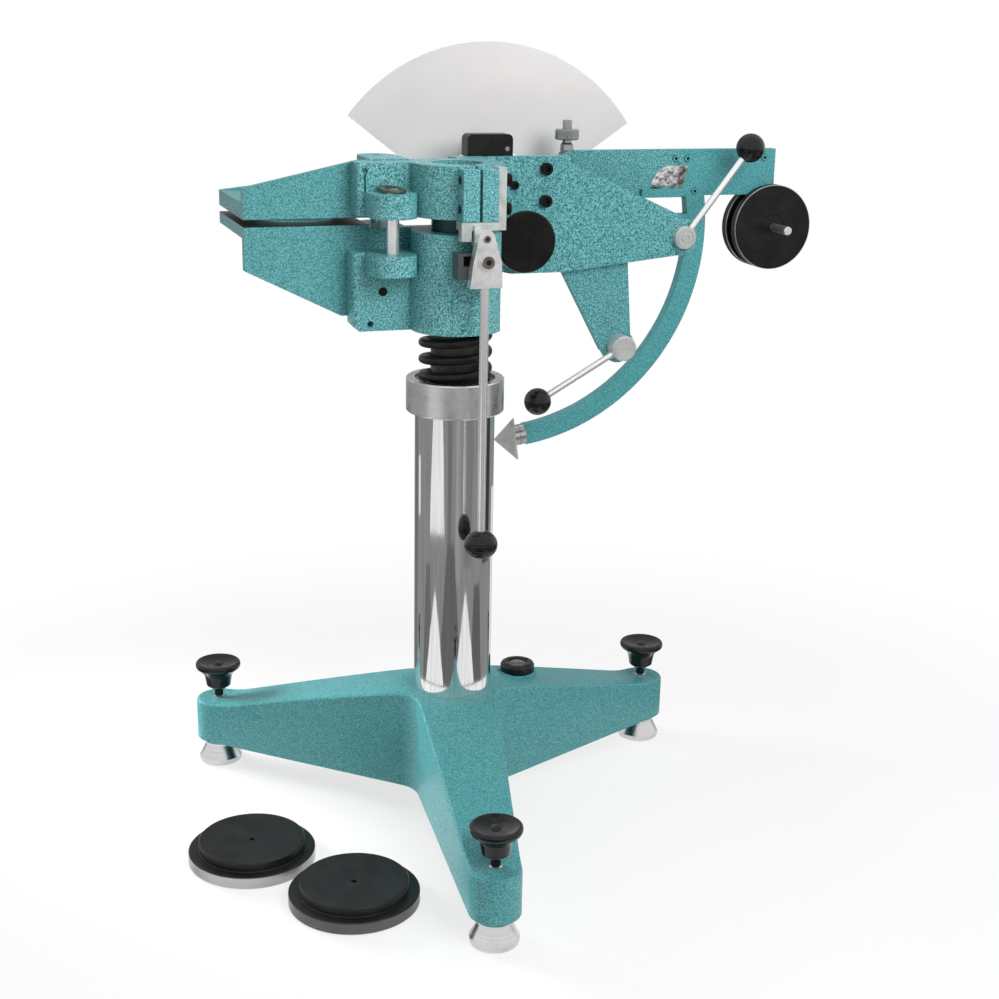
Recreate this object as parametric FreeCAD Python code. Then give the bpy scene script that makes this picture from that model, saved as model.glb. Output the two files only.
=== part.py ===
import FreeCAD, Part
import math
import os
from FreeCAD import Vector as V

# Puncture resistance tester: a pendulum on a tripod column swings a pyramid point up
# through a sheet of board, which a sprung lower jaw clamps under a fixed upper jaw.
# Millimetres. +Z is up and the floor is z = 0. In this file the column's axis is x = y = 0,
# the jaws lie towards -X, the weighted beam towards +X, and the pendulum turns about Y.
# Every piece is moved at the end so that the origin is the middle of the footprint.

# Tripod base
FOOT_CIRCLE_R = 364.0
LEG_DIRECTIONS = {"front": -99.1, "right": 20.9, "left": 140.9}
LEG_TIP_R = 32.0
LEG_ROOT_HALF_WIDTH = 56.0
LEG_UNDERSIDE_Z = 38.0
LEG_TIP_TOP_Z = 98.0
LEG_TIP_FLAT = 14.0
HUB_R = 80.0
HUB_TOP_Z = 176.0
HUB_FLAT_R = 66.0
CAST_WALL = 9.0
LEG_EDGE_ROUND = 7.0
SOCKET_WALL = 11.0
TIP_BOSS_R = 24.0
PAD_BOTTOM_Z = 31.3

# Levelling screws and feet
FOOT_R = 30.3
FOOT_NECK_R = 17.0
FOOT_H = 31.0
FOOT_RIM_H = 4.0
SCREW_R = 8.0
SCREW_PIVOT_R = 6.0
SCREW_PIVOT_BOTTOM_Z = 10.0
KNOB_R = 32.0
KNOB_HUB_R = 16.5
KNOB_BOTTOM_Z = 118.0
KNOB_RIM_Z = 149.0

# Spirit level on the right leg
LEVEL_DISTANCE = 121.0
LEVEL_R = 24.0
LEVEL_SEAT_Z = 165.5
LEVEL_H = 11.0
LEVEL_GLASS_R = 13.0
LEVEL_GLASS_H = 4.0

# Column, its collar, the inner shaft and the lift spring
TUBE_R = 52.0
TUBE_WALL = 4.5
TUBE_BOTTOM_Z = 45.0
COLLAR_R = 63.5
COLLAR_Z = 562.0
COLLAR_H = 44.0
COLLAR_GRIP = 9.0
SPRING_SEAT_DEPTH = 14.0
SPRING_SEAT_CLEARANCE = 4.5
SHAFT_R = 32.0
SHAFT_TOP_Z = 868.0
SHAFT_SOCKET_Z = 60.0
SHAFT_SOCKET_H = 60.0
SHAFT_SOCKET_FLOOR = 14.0
SPRING_R = 42.0
SPRING_WIRE_R = 5.6
SPRING_TURNS = 3.0

# Castings on the shaft: the lower one slides, the upper one is clamped
SLEEVE_R = 58.0
SLEEVE_FLAT_X = 50.0
LOWER_BOTTOM_Z = 668.5
LOWER_TOP_Z = 794.0
UPPER_BOTTOM_Z = 813.0
UPPER_TOP_Z = 878.0
BLOCK_LEFT_X = -127.0
BLOCK_FRONT_Y = 6.0
BLOCK_EDGE_ROUND = 6.0
LOWER_BLOCK_LEFT_X = -133.0
LOWER_BLOCK_TOP_Z = 768.0
LOWER_BLOCK_CHAMFER = 8.0
LUG_X = -87.0
LUG_Y = -14.0
LUG_R = 30.0
UPPER_LUG_TOP_Z = 843.0
LOWER_LUG_Z = (742.0, 768.0)
REAR_BOSS_X = -77.0
REAR_BOSS_Y = 103.0
REAR_BOSS_R = 25.0
LOWER_REAR_BOSS_BOTTOM_Z = 742.0
GUIDE_PIN_R = 8.0
GUIDE_PIN_BOTTOM_Z = 745.0
REAR_PIN_TOP_Z = 868.0
CLIP_R = 15.0
CLIP_H = 3.0
SLIT_HOLE_R = 4.0
SLIT_X = -117.0
SLIT_Z = (842.0, 868.0)
SLIT_DEPTH = 5.0
SLIT_WIDTH = 2.5

# Jaws: square plates with a round window
JAW_LEFT_X = -263.0
JAW_ROOT_X = -104.0
JAW_FRONT_Y = 38.0
JAW_DEPTH = 175.0
JAW_WEB = 12.0
JAW_WINDOW_R = 50.0
JAW_WINDOW_X = -180.0
UPPER_JAW_Z = (807.3, 827.3)
LOWER_JAW_Z = (784.0, 798.7)
UPPER_WEB_LEFT_Z = 846.0
UPPER_WEB_SLOPE_END_X = -118.0
LOWER_WEB_LEFT_Z = 744.5
LOWER_WEB_BOTTOM_Z = 684.0
LOWER_WEB_SLOPE_END_X = -141.0
REAR_WEB_H = 18.0

# Split clamp ears, their bolts and the corner bracket
EARS_X = (-16.0, 29.0)
EARS_FRONT_Y = -78.0
EARS_BOTTOM_Z = 812.5
EARS_TOP_Z = 875.5
EAR_SLIT_X = 6.8
EAR_SLIT = 3.5
CLAMP_BOLT_R = 5.0
CLAMP_BOLT_HEAD_R = 8.0
CLAMP_BOLT_HEAD_H = 9.0
CLAMP_BOLT_Y = -64.0
CLAMP_BOLT_Z = (862.0, 827.0)
BRACKET_T = 10.0
BRACKET_DEPTH = 22.0
BRACKET_TOP_Z = 878.0
BRACKET_TAB = (13.0, 13.0)
ANCHOR_BOTTOM_Z = 785.0
ANCHOR_HALF_WIDTH = 11.0

# Clamp lever
LEVER_X = 8.0
LEVER_PIVOT_Z = 795.0
LEVER_PIN_GAP = 27.5
LEVER_SWING_DEG = 45.0
LEVER_PIN_R = 5.0
LEVER_BACK_Y = -84.2
LEVER_HEAD_T = 14.0
LEVER_HEAD_BOTTOM_Z = 735.0
LEVER_HEAD_BOTTOM_HALF = 20.5
LEVER_HEAD_TOP_R = 10.5
LEVER_HEAD_BORE_R = 5.0
SLOT_LUG_LEFT_X = -24.0
SLOT_LUG_RIGHT_X = 22.0
SLOT_LUG_Z = (744.0, 776.0)
SLOT_SIDE_CLEARANCE = 0.6
SLOT_UP_CLEARANCE = 0.3
SLOT_DOWN_CLEARANCE = 2.4
LEVER_GAP = 0.5
LEVER_ROD_R = 6.0
LEVER_ROD_TIP_R = 5.0
LEVER_KNOB_Z = 405.0
LEVER_KNOB_R = 21.5
LEVER_KNOB_HALF_H = 19.0
LEVER_WASHER_R = 11.0
LEVER_SCREW_HEAD_R = 7.5

# Pivot, side plate and what they carry
PIVOT_X = 104.0
PIVOT_Z = 772.6
PLATE_FRONT_Y = 72.0
PLATE_T = 12.0
PLATE_LEFT_X = 64.0
PLATE_TOP_RIGHT_X = 162.0
PLATE_BARREL_R = 48.0
RELEASE_X = 348.0
RELEASE_Z = 767.3
RELEASE_LOBE_R = 25.0
FLANGE_X = (20.0, 185.0)
FLANGE_T = 20.0
FLANGE_BOTTOM_Z = 815.5
FLANGE_WEB = 40.0
SIDE_SCREW_R = 8.0
SIDE_SCREW_X = 144.7
SIDE_SCREW_Z = (862.0, 820.0)
BARREL_R = 40.0
BARREL_FRONT_Y = 33.0
BARREL_BACK_Y = 106.0
CAP_T = 8.0
BEARING_R = 26.0
BEARING_W = 15.0
PIVOT_SHAFT_R = 12.0
POINTER_SPINDLE_R = 6.0
LOCK_X = 263.4
LOCK_Z = 617.5
LOCK_BOSS_R = 23.5
LOCK_FRONT_Y = 60.0
LOCK_HUB_R = 17.5
TRIANGLE_T = 12.0
TRIANGLE_TOP = ((177.5, 723.5), (273.0, 731.4))
TRIANGLE_FOOT = ((238.5, 611.0), (281.5, 627.0))
TRIANGLE_OVERLAP_H = 24.0
TRIANGLE_SCREW_X = (190.0, 254.0)

# Pendulum
PENDULUM_Y = 127.0
PENDULUM_T = 16.0
PENDULUM_HUB_R = 45.0
BEAM_LEFT_X = 186.0
BEAM_JOINT_X = 363.0
BEAM_RIGHT_X = 508.0
BEAM_Z = (818.0, 881.0)
BEAM_CORNER_R = 8.0
ARC_MEAN_R = 286.0
ARC_WIDTH = 28.0
ARC_TIP_DEG = -82.4
FERRULE_R = 14.5
FERRULE_L = 17.0
FERRULE_GROOVE = 1.2
POINT_EDGE = 60.0
POINT_H = 25.0
POINT_BASE_T = 2.0
STOP_X = (302.0, 361.0)
STOP_Z = (817.0, 828.5)
STOP_T = 9.0
STRIKER_T = 3.0
WEIGHT_X = 504.0
WEIGHT_R = 59.5
WEIGHT_T = 13.0
WEIGHT_EDGE = 2.0
STUD_R = 6.0
STUD_SHANK_R = 5.0
STUD_FRONT_Y = 60.0
STUD_CHAMFER = 1.2
STUD_STEP_GAP = 0.8
STUD_NUT_ACROSS = 19.0
STUD_NUT_H = 9.0
PIVOT_NUT_ACROSS = 36.0
PIVOT_NUT_H = 12.0
HANGER_R = 20.0
TRIM_X = 195.0
TRIM_TOP_Z = 921.0
TRIM_R = 6.4
TRIM_NECK_R = 9.5
TRIM_NECK_H = 8.0
TRIM_NUT_R = 16.0
TRIM_NUT_Z = (895.0, 909.0)
BEAM_SCREW_R = 4.5
BEAM_SCREW_H = 1.6
BEAM_SCREWS = ((197.0, 869.0), (354.0, 869.0), (372.0, 869.0), (491.0, 869.0), (385.0, 824.0))

# Release and lock levers
RELEASE_HUB_R = 15.5
RELEASE_FRONT_Y = 60.0
RELEASE_ROD_DEG = 52.2
RELEASE_REACH = 151.0
RELEASE_BALL_R = 19.6
LOCK_ROD_DEG = 209.3
LOCK_REACH = 141.0
LOCK_BALL_R = 18.5
HANDLE_ROD_R = 4.5
HANDLE_SHAFT_R = 7.0
HANDLE_BACK_GAP = 10.0

# Dial behind the pendulum and its pointer
DIAL_Y = 188.0
DIAL_T = 3.0
DIAL_OUTER_R = 248.0
DIAL_INNER_R = 106.0
DIAL_DEG = (34.3, 142.5)
DIAL_BLOCK_X = (42.4, 105.0)
DIAL_BLOCK_Y = 90.0
DIAL_BLOCK_DEPTH = 26.0
DIAL_BLOCK_TOP_Z = 905.5
DIAL_BLOCK_ROUND = 7.0
DIAL_BAR_X = (74.0, 102.0)
DIAL_BAR_H = 16.0
POINTER_REST_DEG = 132.0
POINTER_LENGTH = 236.0
POINTER_T = 2.0
POINTER_HUB_R = 13.0
POINTER_HUB_L = 9.0

# Two spare weights on the floor
SPARES = {"left": (-294.0, -78.0), "right": (-193.5, -220.5)}
SPARE_R = 81.3
SPARE_H = 29.0
SPARE_RIM_H = 16.0
SPARE_TIER_R = 65.0

# Fits
RUNNING = 0.05
SEAT = 0.3

CAST_Y = JAW_FRONT_Y
PENDULUM_FRONT_Y = PENDULUM_Y - PENDULUM_T / 2
PENDULUM_BACK_Y = PENDULUM_Y + PENDULUM_T / 2
JAW_BACK_Y = JAW_FRONT_Y + JAW_DEPTH
JAW_WINDOW_Y = PENDULUM_Y
PLATE_BACK_Y = PLATE_FRONT_Y + PLATE_T
COLLAR_TOP_Z = COLLAR_Z + COLLAR_H
TUBE_TOP_Z = COLLAR_Z + COLLAR_GRIP
LEVER_Y = LEVER_BACK_Y - LEVER_HEAD_T / 2
CLAMP_TRAVEL = LEVER_PIN_GAP * (1 - math.cos(math.radians(LEVER_SWING_DEG)))


def box(x0, x1, y0, y1, z0, z1):
    return Part.makeBox(x1 - x0, y1 - y0, z1 - z0, V(x0, y0, z0))


def rod_z(r, z0, z1, x=0.0, y=0.0):
    return Part.makeCylinder(r, z1 - z0, V(x, y, z0))


def rod_y(r, y0, y1, x, z):
    return Part.makeCylinder(r, y1 - y0, V(x, y0, z), V(0, 1, 0))


def rod_x(r, x0, x1, y, z):
    return Part.makeCylinder(r, x1 - x0, V(x0, y, z), V(1, 0, 0))


def rod_between(r, start, end):
    return Part.makeCylinder(r, (end - start).Length, start, end - start)


def plate_xz(points, y0, y1):
    corners = [V(x, y0, z) for x, z in points]
    return Part.Face(Part.makePolygon(corners + corners[:1])).extrude(V(0, y1 - y0, 0))


def plate_xy(points, z0, z1):
    corners = [V(x, y, z0) for x, y in points]
    return Part.Face(Part.makePolygon(corners + corners[:1])).extrude(V(0, 0, z1 - z0))


def turned_z(profile, x=0.0, y=0.0):
    corners = [V(r, 0, z) for r, z in profile]
    face = Part.Face(Part.makePolygon(corners + corners[:1]))
    turned = face.revolve(V(0, 0, 0), V(0, 0, 1), 360)
    return turned.translated(V(x, y, 0))


def turned_y(profile, x, z):
    corners = [V(r, y, 0) for r, y in profile]
    face = Part.Face(Part.makePolygon(corners + corners[:1]))
    turned = face.revolve(V(0, 0, 0), V(0, 1, 0), 360)
    return turned.translated(V(x, 0, z))


def rounded(shape, radius, wanted):
    return shape.makeFillet(radius, [edge for edge in shape.Edges if wanted(edge)])


def middle(edge):
    return edge.BoundBox.Center


def upright(edge):
    box_of_edge = edge.BoundBox
    return box_of_edge.ZLength > 1 and box_of_edge.XLength + box_of_edge.YLength < 0.01


def socket_screw(r, head_h, length, x, y, z, back):
    # A cap screw along Y: the head stands in front of y, the shank goes back from it.
    head = rod_y(r, y - head_h, y, x, z)
    hexagon = [(x + 0.55 * r * math.cos(a * math.pi / 3), z + 0.55 * r * math.sin(a * math.pi / 3))
               for a in range(6)]
    head = head.cut(plate_xz(hexagon, y - head_h, y - head_h / 2))
    return head.fuse(rod_y(0.6 * r, y, y + length, x, z)) if back else head


# Tripod base

def leg_blank(inset, bottom):
    tip = LEG_TIP_R - inset
    root = LEG_ROOT_HALF_WIDTH - inset
    outline = [(0, -root), (FOOT_CIRCLE_R, -tip), (FOOT_CIRCLE_R, tip), (0, root)]
    plan = plate_xy(outline, bottom, HUB_TOP_Z)
    plan = plan.fuse(rod_z(tip, bottom, HUB_TOP_Z, FOOT_CIRCLE_R)).removeSplitter()
    end = FOOT_CIRCLE_R + LEG_TIP_R
    slope_end = FOOT_CIRCLE_R - LEG_TIP_FLAT
    side = [(0, bottom), (end, bottom), (end, LEG_TIP_TOP_Z - inset), (slope_end, LEG_TIP_TOP_Z - inset),
            (HUB_FLAT_R, HUB_TOP_Z - inset), (0, HUB_TOP_Z - inset)]
    reach = LEG_ROOT_HALF_WIDTH
    leg = plan.common(plate_xz(side, -reach, reach))
    return leg


def leg(direction):
    blank = leg_blank(0, LEG_UNDERSIDE_Z)
    top = LEG_TIP_TOP_Z - 1

    def upper_edge(edge):
        centre = middle(edge)
        return centre.z > top and abs(centre.y) > 1 and centre.x > HUB_FLAT_R or (
            centre.z > top and centre.x > FOOT_CIRCLE_R)

    blank = rounded(blank, LEG_EDGE_ROUND, upper_edge)
    return blank.rotate(V(0, 0, 0), V(0, 0, 1), direction)


def leg_hollow(direction):
    hollow = leg_blank(CAST_WALL, LEG_UNDERSIDE_Z - 1)
    return hollow.rotate(V(0, 0, 0), V(0, 0, 1), direction)


def foot_place(direction):
    angle = math.radians(direction)
    return FOOT_CIRCLE_R * math.cos(angle), FOOT_CIRCLE_R * math.sin(angle)


def level_place():
    angle = math.radians(LEG_DIRECTIONS["right"] + 2)
    return LEVEL_DISTANCE * math.cos(angle), LEVEL_DISTANCE * math.sin(angle)


def tripod_base():
    casting = rod_z(HUB_R, LEG_UNDERSIDE_Z, HUB_TOP_Z)
    hollow = rod_z(HUB_R - CAST_WALL, LEG_UNDERSIDE_Z - 1, HUB_TOP_Z - CAST_WALL)
    for direction in LEG_DIRECTIONS.values():
        casting = casting.fuse(leg(direction))
        hollow = hollow.fuse(leg_hollow(direction))
    casting = casting.cut(hollow)
    casting = casting.fuse(rod_z(TUBE_R + SOCKET_WALL, LEG_UNDERSIDE_Z, HUB_TOP_Z - 1))
    level_x, level_y = level_place()
    casting = casting.fuse(rod_z(LEVEL_R + 3, LEVEL_SEAT_Z - 30, LEVEL_SEAT_Z, level_x, level_y))
    casting = casting.cut(rod_z(LEVEL_R + 3, LEVEL_SEAT_Z, HUB_TOP_Z, level_x, level_y))
    for direction in LEG_DIRECTIONS.values():
        x, y = foot_place(direction)
        casting = casting.fuse(rod_z(TIP_BOSS_R, PAD_BOTTOM_Z, LEG_TIP_TOP_Z - 1, x, y))
        casting = casting.cut(rod_z(SCREW_R + RUNNING, 0, HUB_TOP_Z, x, y))
    casting = casting.cut(rod_z(TUBE_R, TUBE_BOTTOM_Z, HUB_TOP_Z + 1))
    casting = casting.cut(rod_z(TUBE_R - TUBE_WALL - 4, 0, TUBE_BOTTOM_Z + 1))
    return casting.removeSplitter()


def levelling_foot(direction):
    x, y = foot_place(direction)
    neck_z = FOOT_H - FOOT_RIM_H
    profile = [(0, 0), (FOOT_R - 1, 0), (FOOT_R, 1), (FOOT_R, FOOT_RIM_H), (FOOT_R - 2, FOOT_RIM_H + 2),
               (FOOT_NECK_R, neck_z), (FOOT_NECK_R, FOOT_H), (0, FOOT_H)]
    socket = rod_z(SCREW_PIVOT_R + RUNNING, SCREW_PIVOT_BOTTOM_Z - SEAT, FOOT_H + 1, x, y)
    return turned_z(profile, x, y).cut(socket)


def levelling_screw(direction):
    x, y = foot_place(direction)
    shoulder = FOOT_H + SEAT
    profile = [(0, SCREW_PIVOT_BOTTOM_Z), (SCREW_PIVOT_R, SCREW_PIVOT_BOTTOM_Z), (SCREW_PIVOT_R, shoulder),
               (SCREW_R, shoulder), (SCREW_R, KNOB_BOTTOM_Z), (KNOB_HUB_R, KNOB_BOTTOM_Z),
               (KNOB_HUB_R + 1, KNOB_BOTTOM_Z + 2), (KNOB_HUB_R - 1, KNOB_BOTTOM_Z + 12),
               (KNOB_HUB_R + 1, KNOB_BOTTOM_Z + 19), (KNOB_R - 7, KNOB_RIM_Z - 7), (KNOB_R - 1, KNOB_RIM_Z - 3),
               (KNOB_R, KNOB_RIM_Z), (KNOB_R - 2, KNOB_RIM_Z + 4), (KNOB_R - 7, KNOB_RIM_Z + 5.5),
               (KNOB_R - 14, KNOB_RIM_Z + 4.5), (KNOB_R - 22, KNOB_RIM_Z + 2.5), (0, KNOB_RIM_Z + 2)]
    return turned_z(profile, x, y)


def level_housing():
    x, y = level_place()
    top = LEVEL_SEAT_Z + LEVEL_H
    profile = [(0, LEVEL_SEAT_Z), (LEVEL_R, LEVEL_SEAT_Z), (LEVEL_R, top - 2), (LEVEL_R - 2, top),
               (LEVEL_GLASS_R, top), (LEVEL_GLASS_R, top - LEVEL_GLASS_H), (0, top - LEVEL_GLASS_H)]
    return turned_z(profile, x, y)


def level_glass():
    x, y = level_place()
    top = LEVEL_SEAT_Z + LEVEL_H
    return rod_z(LEVEL_GLASS_R, top - LEVEL_GLASS_H, top - 0.5, x, y)


# Column

def column_tube():
    tube = rod_z(TUBE_R, TUBE_BOTTOM_Z, TUBE_TOP_Z)
    return tube.cut(rod_z(TUBE_R - TUBE_WALL, TUBE_BOTTOM_Z, TUBE_TOP_Z))


def column_collar():
    seat_r = SPRING_R + SPRING_WIRE_R + SPRING_SEAT_CLEARANCE
    seat_z = COLLAR_TOP_Z - SPRING_SEAT_DEPTH
    profile = [(SHAFT_R, TUBE_TOP_Z), (TUBE_R, TUBE_TOP_Z), (TUBE_R, COLLAR_Z), (COLLAR_R - 1.5, COLLAR_Z),
               (COLLAR_R, COLLAR_Z + 1.5), (COLLAR_R, COLLAR_TOP_Z - 1.5), (COLLAR_R - 1.5, COLLAR_TOP_Z),
               (seat_r, COLLAR_TOP_Z), (seat_r, seat_z), (SHAFT_R, seat_z)]
    return turned_z(profile)


def inner_shaft():
    foot_z = SHAFT_SOCKET_Z + SHAFT_SOCKET_FLOOR
    profile = [(0, foot_z), (SHAFT_R, foot_z), (SHAFT_R, SHAFT_TOP_Z - 2), (SHAFT_R - 2, SHAFT_TOP_Z),
               (6, SHAFT_TOP_Z), (4, SHAFT_TOP_Z - 6), (0, SHAFT_TOP_Z - 6)]
    return turned_z(profile)


def shaft_socket():
    # A turned plug in the bottom of the tube that centres the shaft.
    top = SHAFT_SOCKET_Z + SHAFT_SOCKET_H
    foot_z = SHAFT_SOCKET_Z + SHAFT_SOCKET_FLOOR
    bore = TUBE_R - TUBE_WALL
    profile = [(0, SHAFT_SOCKET_Z), (bore, SHAFT_SOCKET_Z), (bore, top - 6), (bore - 4, top), (SHAFT_R, top),
               (SHAFT_R, foot_z), (0, foot_z)]
    return turned_z(profile)


def lift_spring():
    low = COLLAR_TOP_Z - SPRING_SEAT_DEPTH + SEAT + SPRING_WIRE_R
    high = LOWER_BOTTOM_Z - SEAT - SPRING_WIRE_R
    helix = Part.makeHelix((high - low) / SPRING_TURNS, high - low, SPRING_R)
    wire_section = Part.Wire(Part.Circle(V(SPRING_R, 0, 0), V(0, 1, 0), SPRING_WIRE_R).toShape())
    coil = Part.Wire(helix.Edges).makePipeShell([wire_section], True, True)
    return coil.translated(V(0, 0, low))


# Castings on the shaft

def guide_lug(z0, z1):
    lug = rod_z(LUG_R, z0, z1, LUG_X, LUG_Y)
    return lug.fuse(box(LUG_X - LUG_R, LUG_X + LUG_R, LUG_Y, BLOCK_FRONT_Y + 1, z0, z1))


def rear_boss(z0, z1):
    boss = rod_z(REAR_BOSS_R, z0, z1, REAR_BOSS_X, REAR_BOSS_Y)
    x0 = max(REAR_BOSS_X - REAR_BOSS_R, JAW_ROOT_X)
    return boss.fuse(box(x0, REAR_BOSS_X + REAR_BOSS_R, CAST_Y, REAR_BOSS_Y, z0, z1))


def front_block(left_x, z0, z1):
    block = box(left_x, 0, BLOCK_FRONT_Y, CAST_Y, z0, z1)

    def front_corner(edge):
        return upright(edge) and middle(edge).x < left_x + 1 and middle(edge).y < BLOCK_FRONT_Y + 1

    block = rounded(block, BLOCK_EDGE_ROUND, front_corner)
    return block


def lower_casting():
    z0, z1 = LOWER_BOTTOM_Z, LOWER_TOP_Z
    casting = rod_z(SLEEVE_R, z0, z1).cut(box(SLEEVE_FLAT_X, SLEEVE_R, -SLEEVE_R, SLEEVE_R, z0, z1))
    block = front_block(LOWER_BLOCK_LEFT_X, z0, LOWER_BLOCK_TOP_Z)
    corner = [(LOWER_BLOCK_LEFT_X, z0), (LOWER_BLOCK_LEFT_X + LOWER_BLOCK_CHAMFER, z0),
              (LOWER_BLOCK_LEFT_X, z0 + LOWER_BLOCK_CHAMFER)]
    block = block.cut(plate_xz(corner, BLOCK_FRONT_Y, CAST_Y))
    root = box(JAW_ROOT_X, 0, CAST_Y, SLEEVE_R, z0, z1)
    casting = casting.fuse([block, root, guide_lug(*LOWER_LUG_Z), rear_boss(LOWER_REAR_BOSS_BOTTOM_Z, z1)])
    casting = casting.fuse(slot_lug())
    casting = casting.cut(rod_z(SHAFT_R + RUNNING, z0 - 1, z1 + 1))
    casting = casting.cut(rod_z(GUIDE_PIN_R + RUNNING, z0, z1 + 1, LUG_X, LUG_Y))
    casting = casting.cut(rod_z(GUIDE_PIN_R + RUNNING, z0, z1 + 1, REAR_BOSS_X, REAR_BOSS_Y))
    casting = casting.cut(rod_y(4, BLOCK_FRONT_Y - 1, BLOCK_FRONT_Y + 12, -111, z0 + 9))
    casting = casting.cut(pin_slot())
    return casting.removeSplitter()


def slot_lug():
    front = LEVER_BACK_Y + LEVER_GAP
    return box(SLOT_LUG_LEFT_X, SLOT_LUG_RIGHT_X, front, -SHAFT_R - 8, *SLOT_LUG_Z)


def pin_slot():
    # The lever's lower pin moves sideways here while it lifts the casting.
    pin_z = LEVER_PIVOT_Z - LEVER_PIN_GAP
    swing = LEVER_PIN_GAP * math.sin(math.radians(LEVER_SWING_DEG))
    left = LEVER_X - swing - LEVER_PIN_R - SLOT_SIDE_CLEARANCE
    right = LEVER_X + LEVER_PIN_R + SLOT_SIDE_CLEARANCE
    low = pin_z - LEVER_PIN_R - SLOT_DOWN_CLEARANCE
    high = pin_z + LEVER_PIN_R + SLOT_UP_CLEARANCE
    return box(left, right, LEVER_BACK_Y, -SLEEVE_R - 4, low, high)


def head_casting():
    z0, z1 = UPPER_BOTTOM_Z, UPPER_TOP_Z
    casting = rod_z(SLEEVE_R, z0, z1)
    block = front_block(BLOCK_LEFT_X, z0, z1)
    root = box(JAW_ROOT_X, 0, CAST_Y, SLEEVE_R, z0, z1)
    flange_y = PLATE_BACK_Y
    flange = box(FLANGE_X[0], FLANGE_X[1], flange_y, flange_y + FLANGE_T, FLANGE_BOTTOM_Z, z1 - 1)
    web = box(FLANGE_X[0], FLANGE_X[0] + FLANGE_WEB, SHAFT_R + 4, flange_y + 1, FLANGE_BOTTOM_Z, z1)
    ears = box(EARS_X[0], EARS_X[1], EARS_FRONT_Y, -SHAFT_R - 8, EARS_BOTTOM_Z + 0.5, EARS_TOP_Z)
    casting = casting.fuse([block, root, guide_lug(z0, UPPER_LUG_TOP_Z), rear_boss(z0 + 27, z1 + 1.5)])
    casting = casting.fuse([flange, web, ears])
    half = EAR_SLIT / 2
    casting = casting.cut(box(EAR_SLIT_X - half, EAR_SLIT_X + half, EARS_FRONT_Y - 1, 0, z0 - 1, z1 + 2))
    casting = casting.cut(rod_z(SHAFT_R, z0 - 1, z1 + 3))
    for z in CLAMP_BOLT_Z:
        casting = casting.cut(rod_x(CLAMP_BOLT_R, EARS_X[0] - 1, EARS_X[1] + 1, CLAMP_BOLT_Y, z))
    casting = casting.cut(rod_z(GUIDE_PIN_R, z0 - 1, UPPER_LUG_TOP_Z + 1, LUG_X, LUG_Y))
    casting = casting.cut(rod_z(GUIDE_PIN_R, z0 - 1, REAR_PIN_TOP_Z, REAR_BOSS_X, REAR_BOSS_Y))
    casting = casting.cut(rod_z(6, REAR_PIN_TOP_Z - 1, z1 + 3, REAR_BOSS_X, REAR_BOSS_Y))
    casting = casting.cut(clamp_keyhole())
    for z in SIDE_SCREW_Z:
        casting = casting.cut(rod_y(0.6 * SIDE_SCREW_R, flange_y - 1, flange_y + FLANGE_T, SIDE_SCREW_X, z))
    return casting.removeSplitter()


def clamp_keyhole():
    # A drilled hole with a saw cut below it, on the block's front face.
    y0 = BLOCK_FRONT_Y - 1
    y1 = BLOCK_FRONT_Y + SLIT_DEPTH
    hole = rod_y(SLIT_HOLE_R, y0, y1, SLIT_X, SLIT_Z[1])
    return hole.fuse(box(SLIT_X - SLIT_WIDTH / 2, SLIT_X + SLIT_WIDTH / 2, y0, y1, *SLIT_Z))


def upper_jaw():
    z0, z1 = UPPER_JAW_Z
    plate = box(JAW_LEFT_X, JAW_ROOT_X, JAW_FRONT_Y, JAW_BACK_Y, z0, z1)
    top = UPPER_TOP_Z
    side = [(JAW_LEFT_X, z0), (JAW_LEFT_X, UPPER_WEB_LEFT_Z), (UPPER_WEB_SLOPE_END_X, top),
            (JAW_ROOT_X, top), (JAW_ROOT_X, z0)]
    front_web = plate_xz(side, JAW_FRONT_Y, JAW_FRONT_Y + JAW_WEB)
    rear_side = [(JAW_LEFT_X, z1 - 1), (JAW_LEFT_X, z1), (JAW_ROOT_X, z1 + REAR_WEB_H), (JAW_ROOT_X, z1 - 1)]
    rear_web = plate_xz(rear_side, JAW_BACK_Y - JAW_WEB, JAW_BACK_Y)
    root = box(JAW_ROOT_X - JAW_WEB, JAW_ROOT_X, JAW_FRONT_Y, SLEEVE_R, z0, top - 1)
    jaw = plate.fuse([front_web, rear_web, root])
    window = rod_z(JAW_WINDOW_R, z0 - 1, z1 + 1, JAW_WINDOW_X, JAW_WINDOW_Y)
    sink = Part.makeCone(JAW_WINDOW_R, JAW_WINDOW_R + 6, 6, V(JAW_WINDOW_X, JAW_WINDOW_Y, z1 - 6))
    return jaw.cut(window).cut(sink).removeSplitter()


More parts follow.
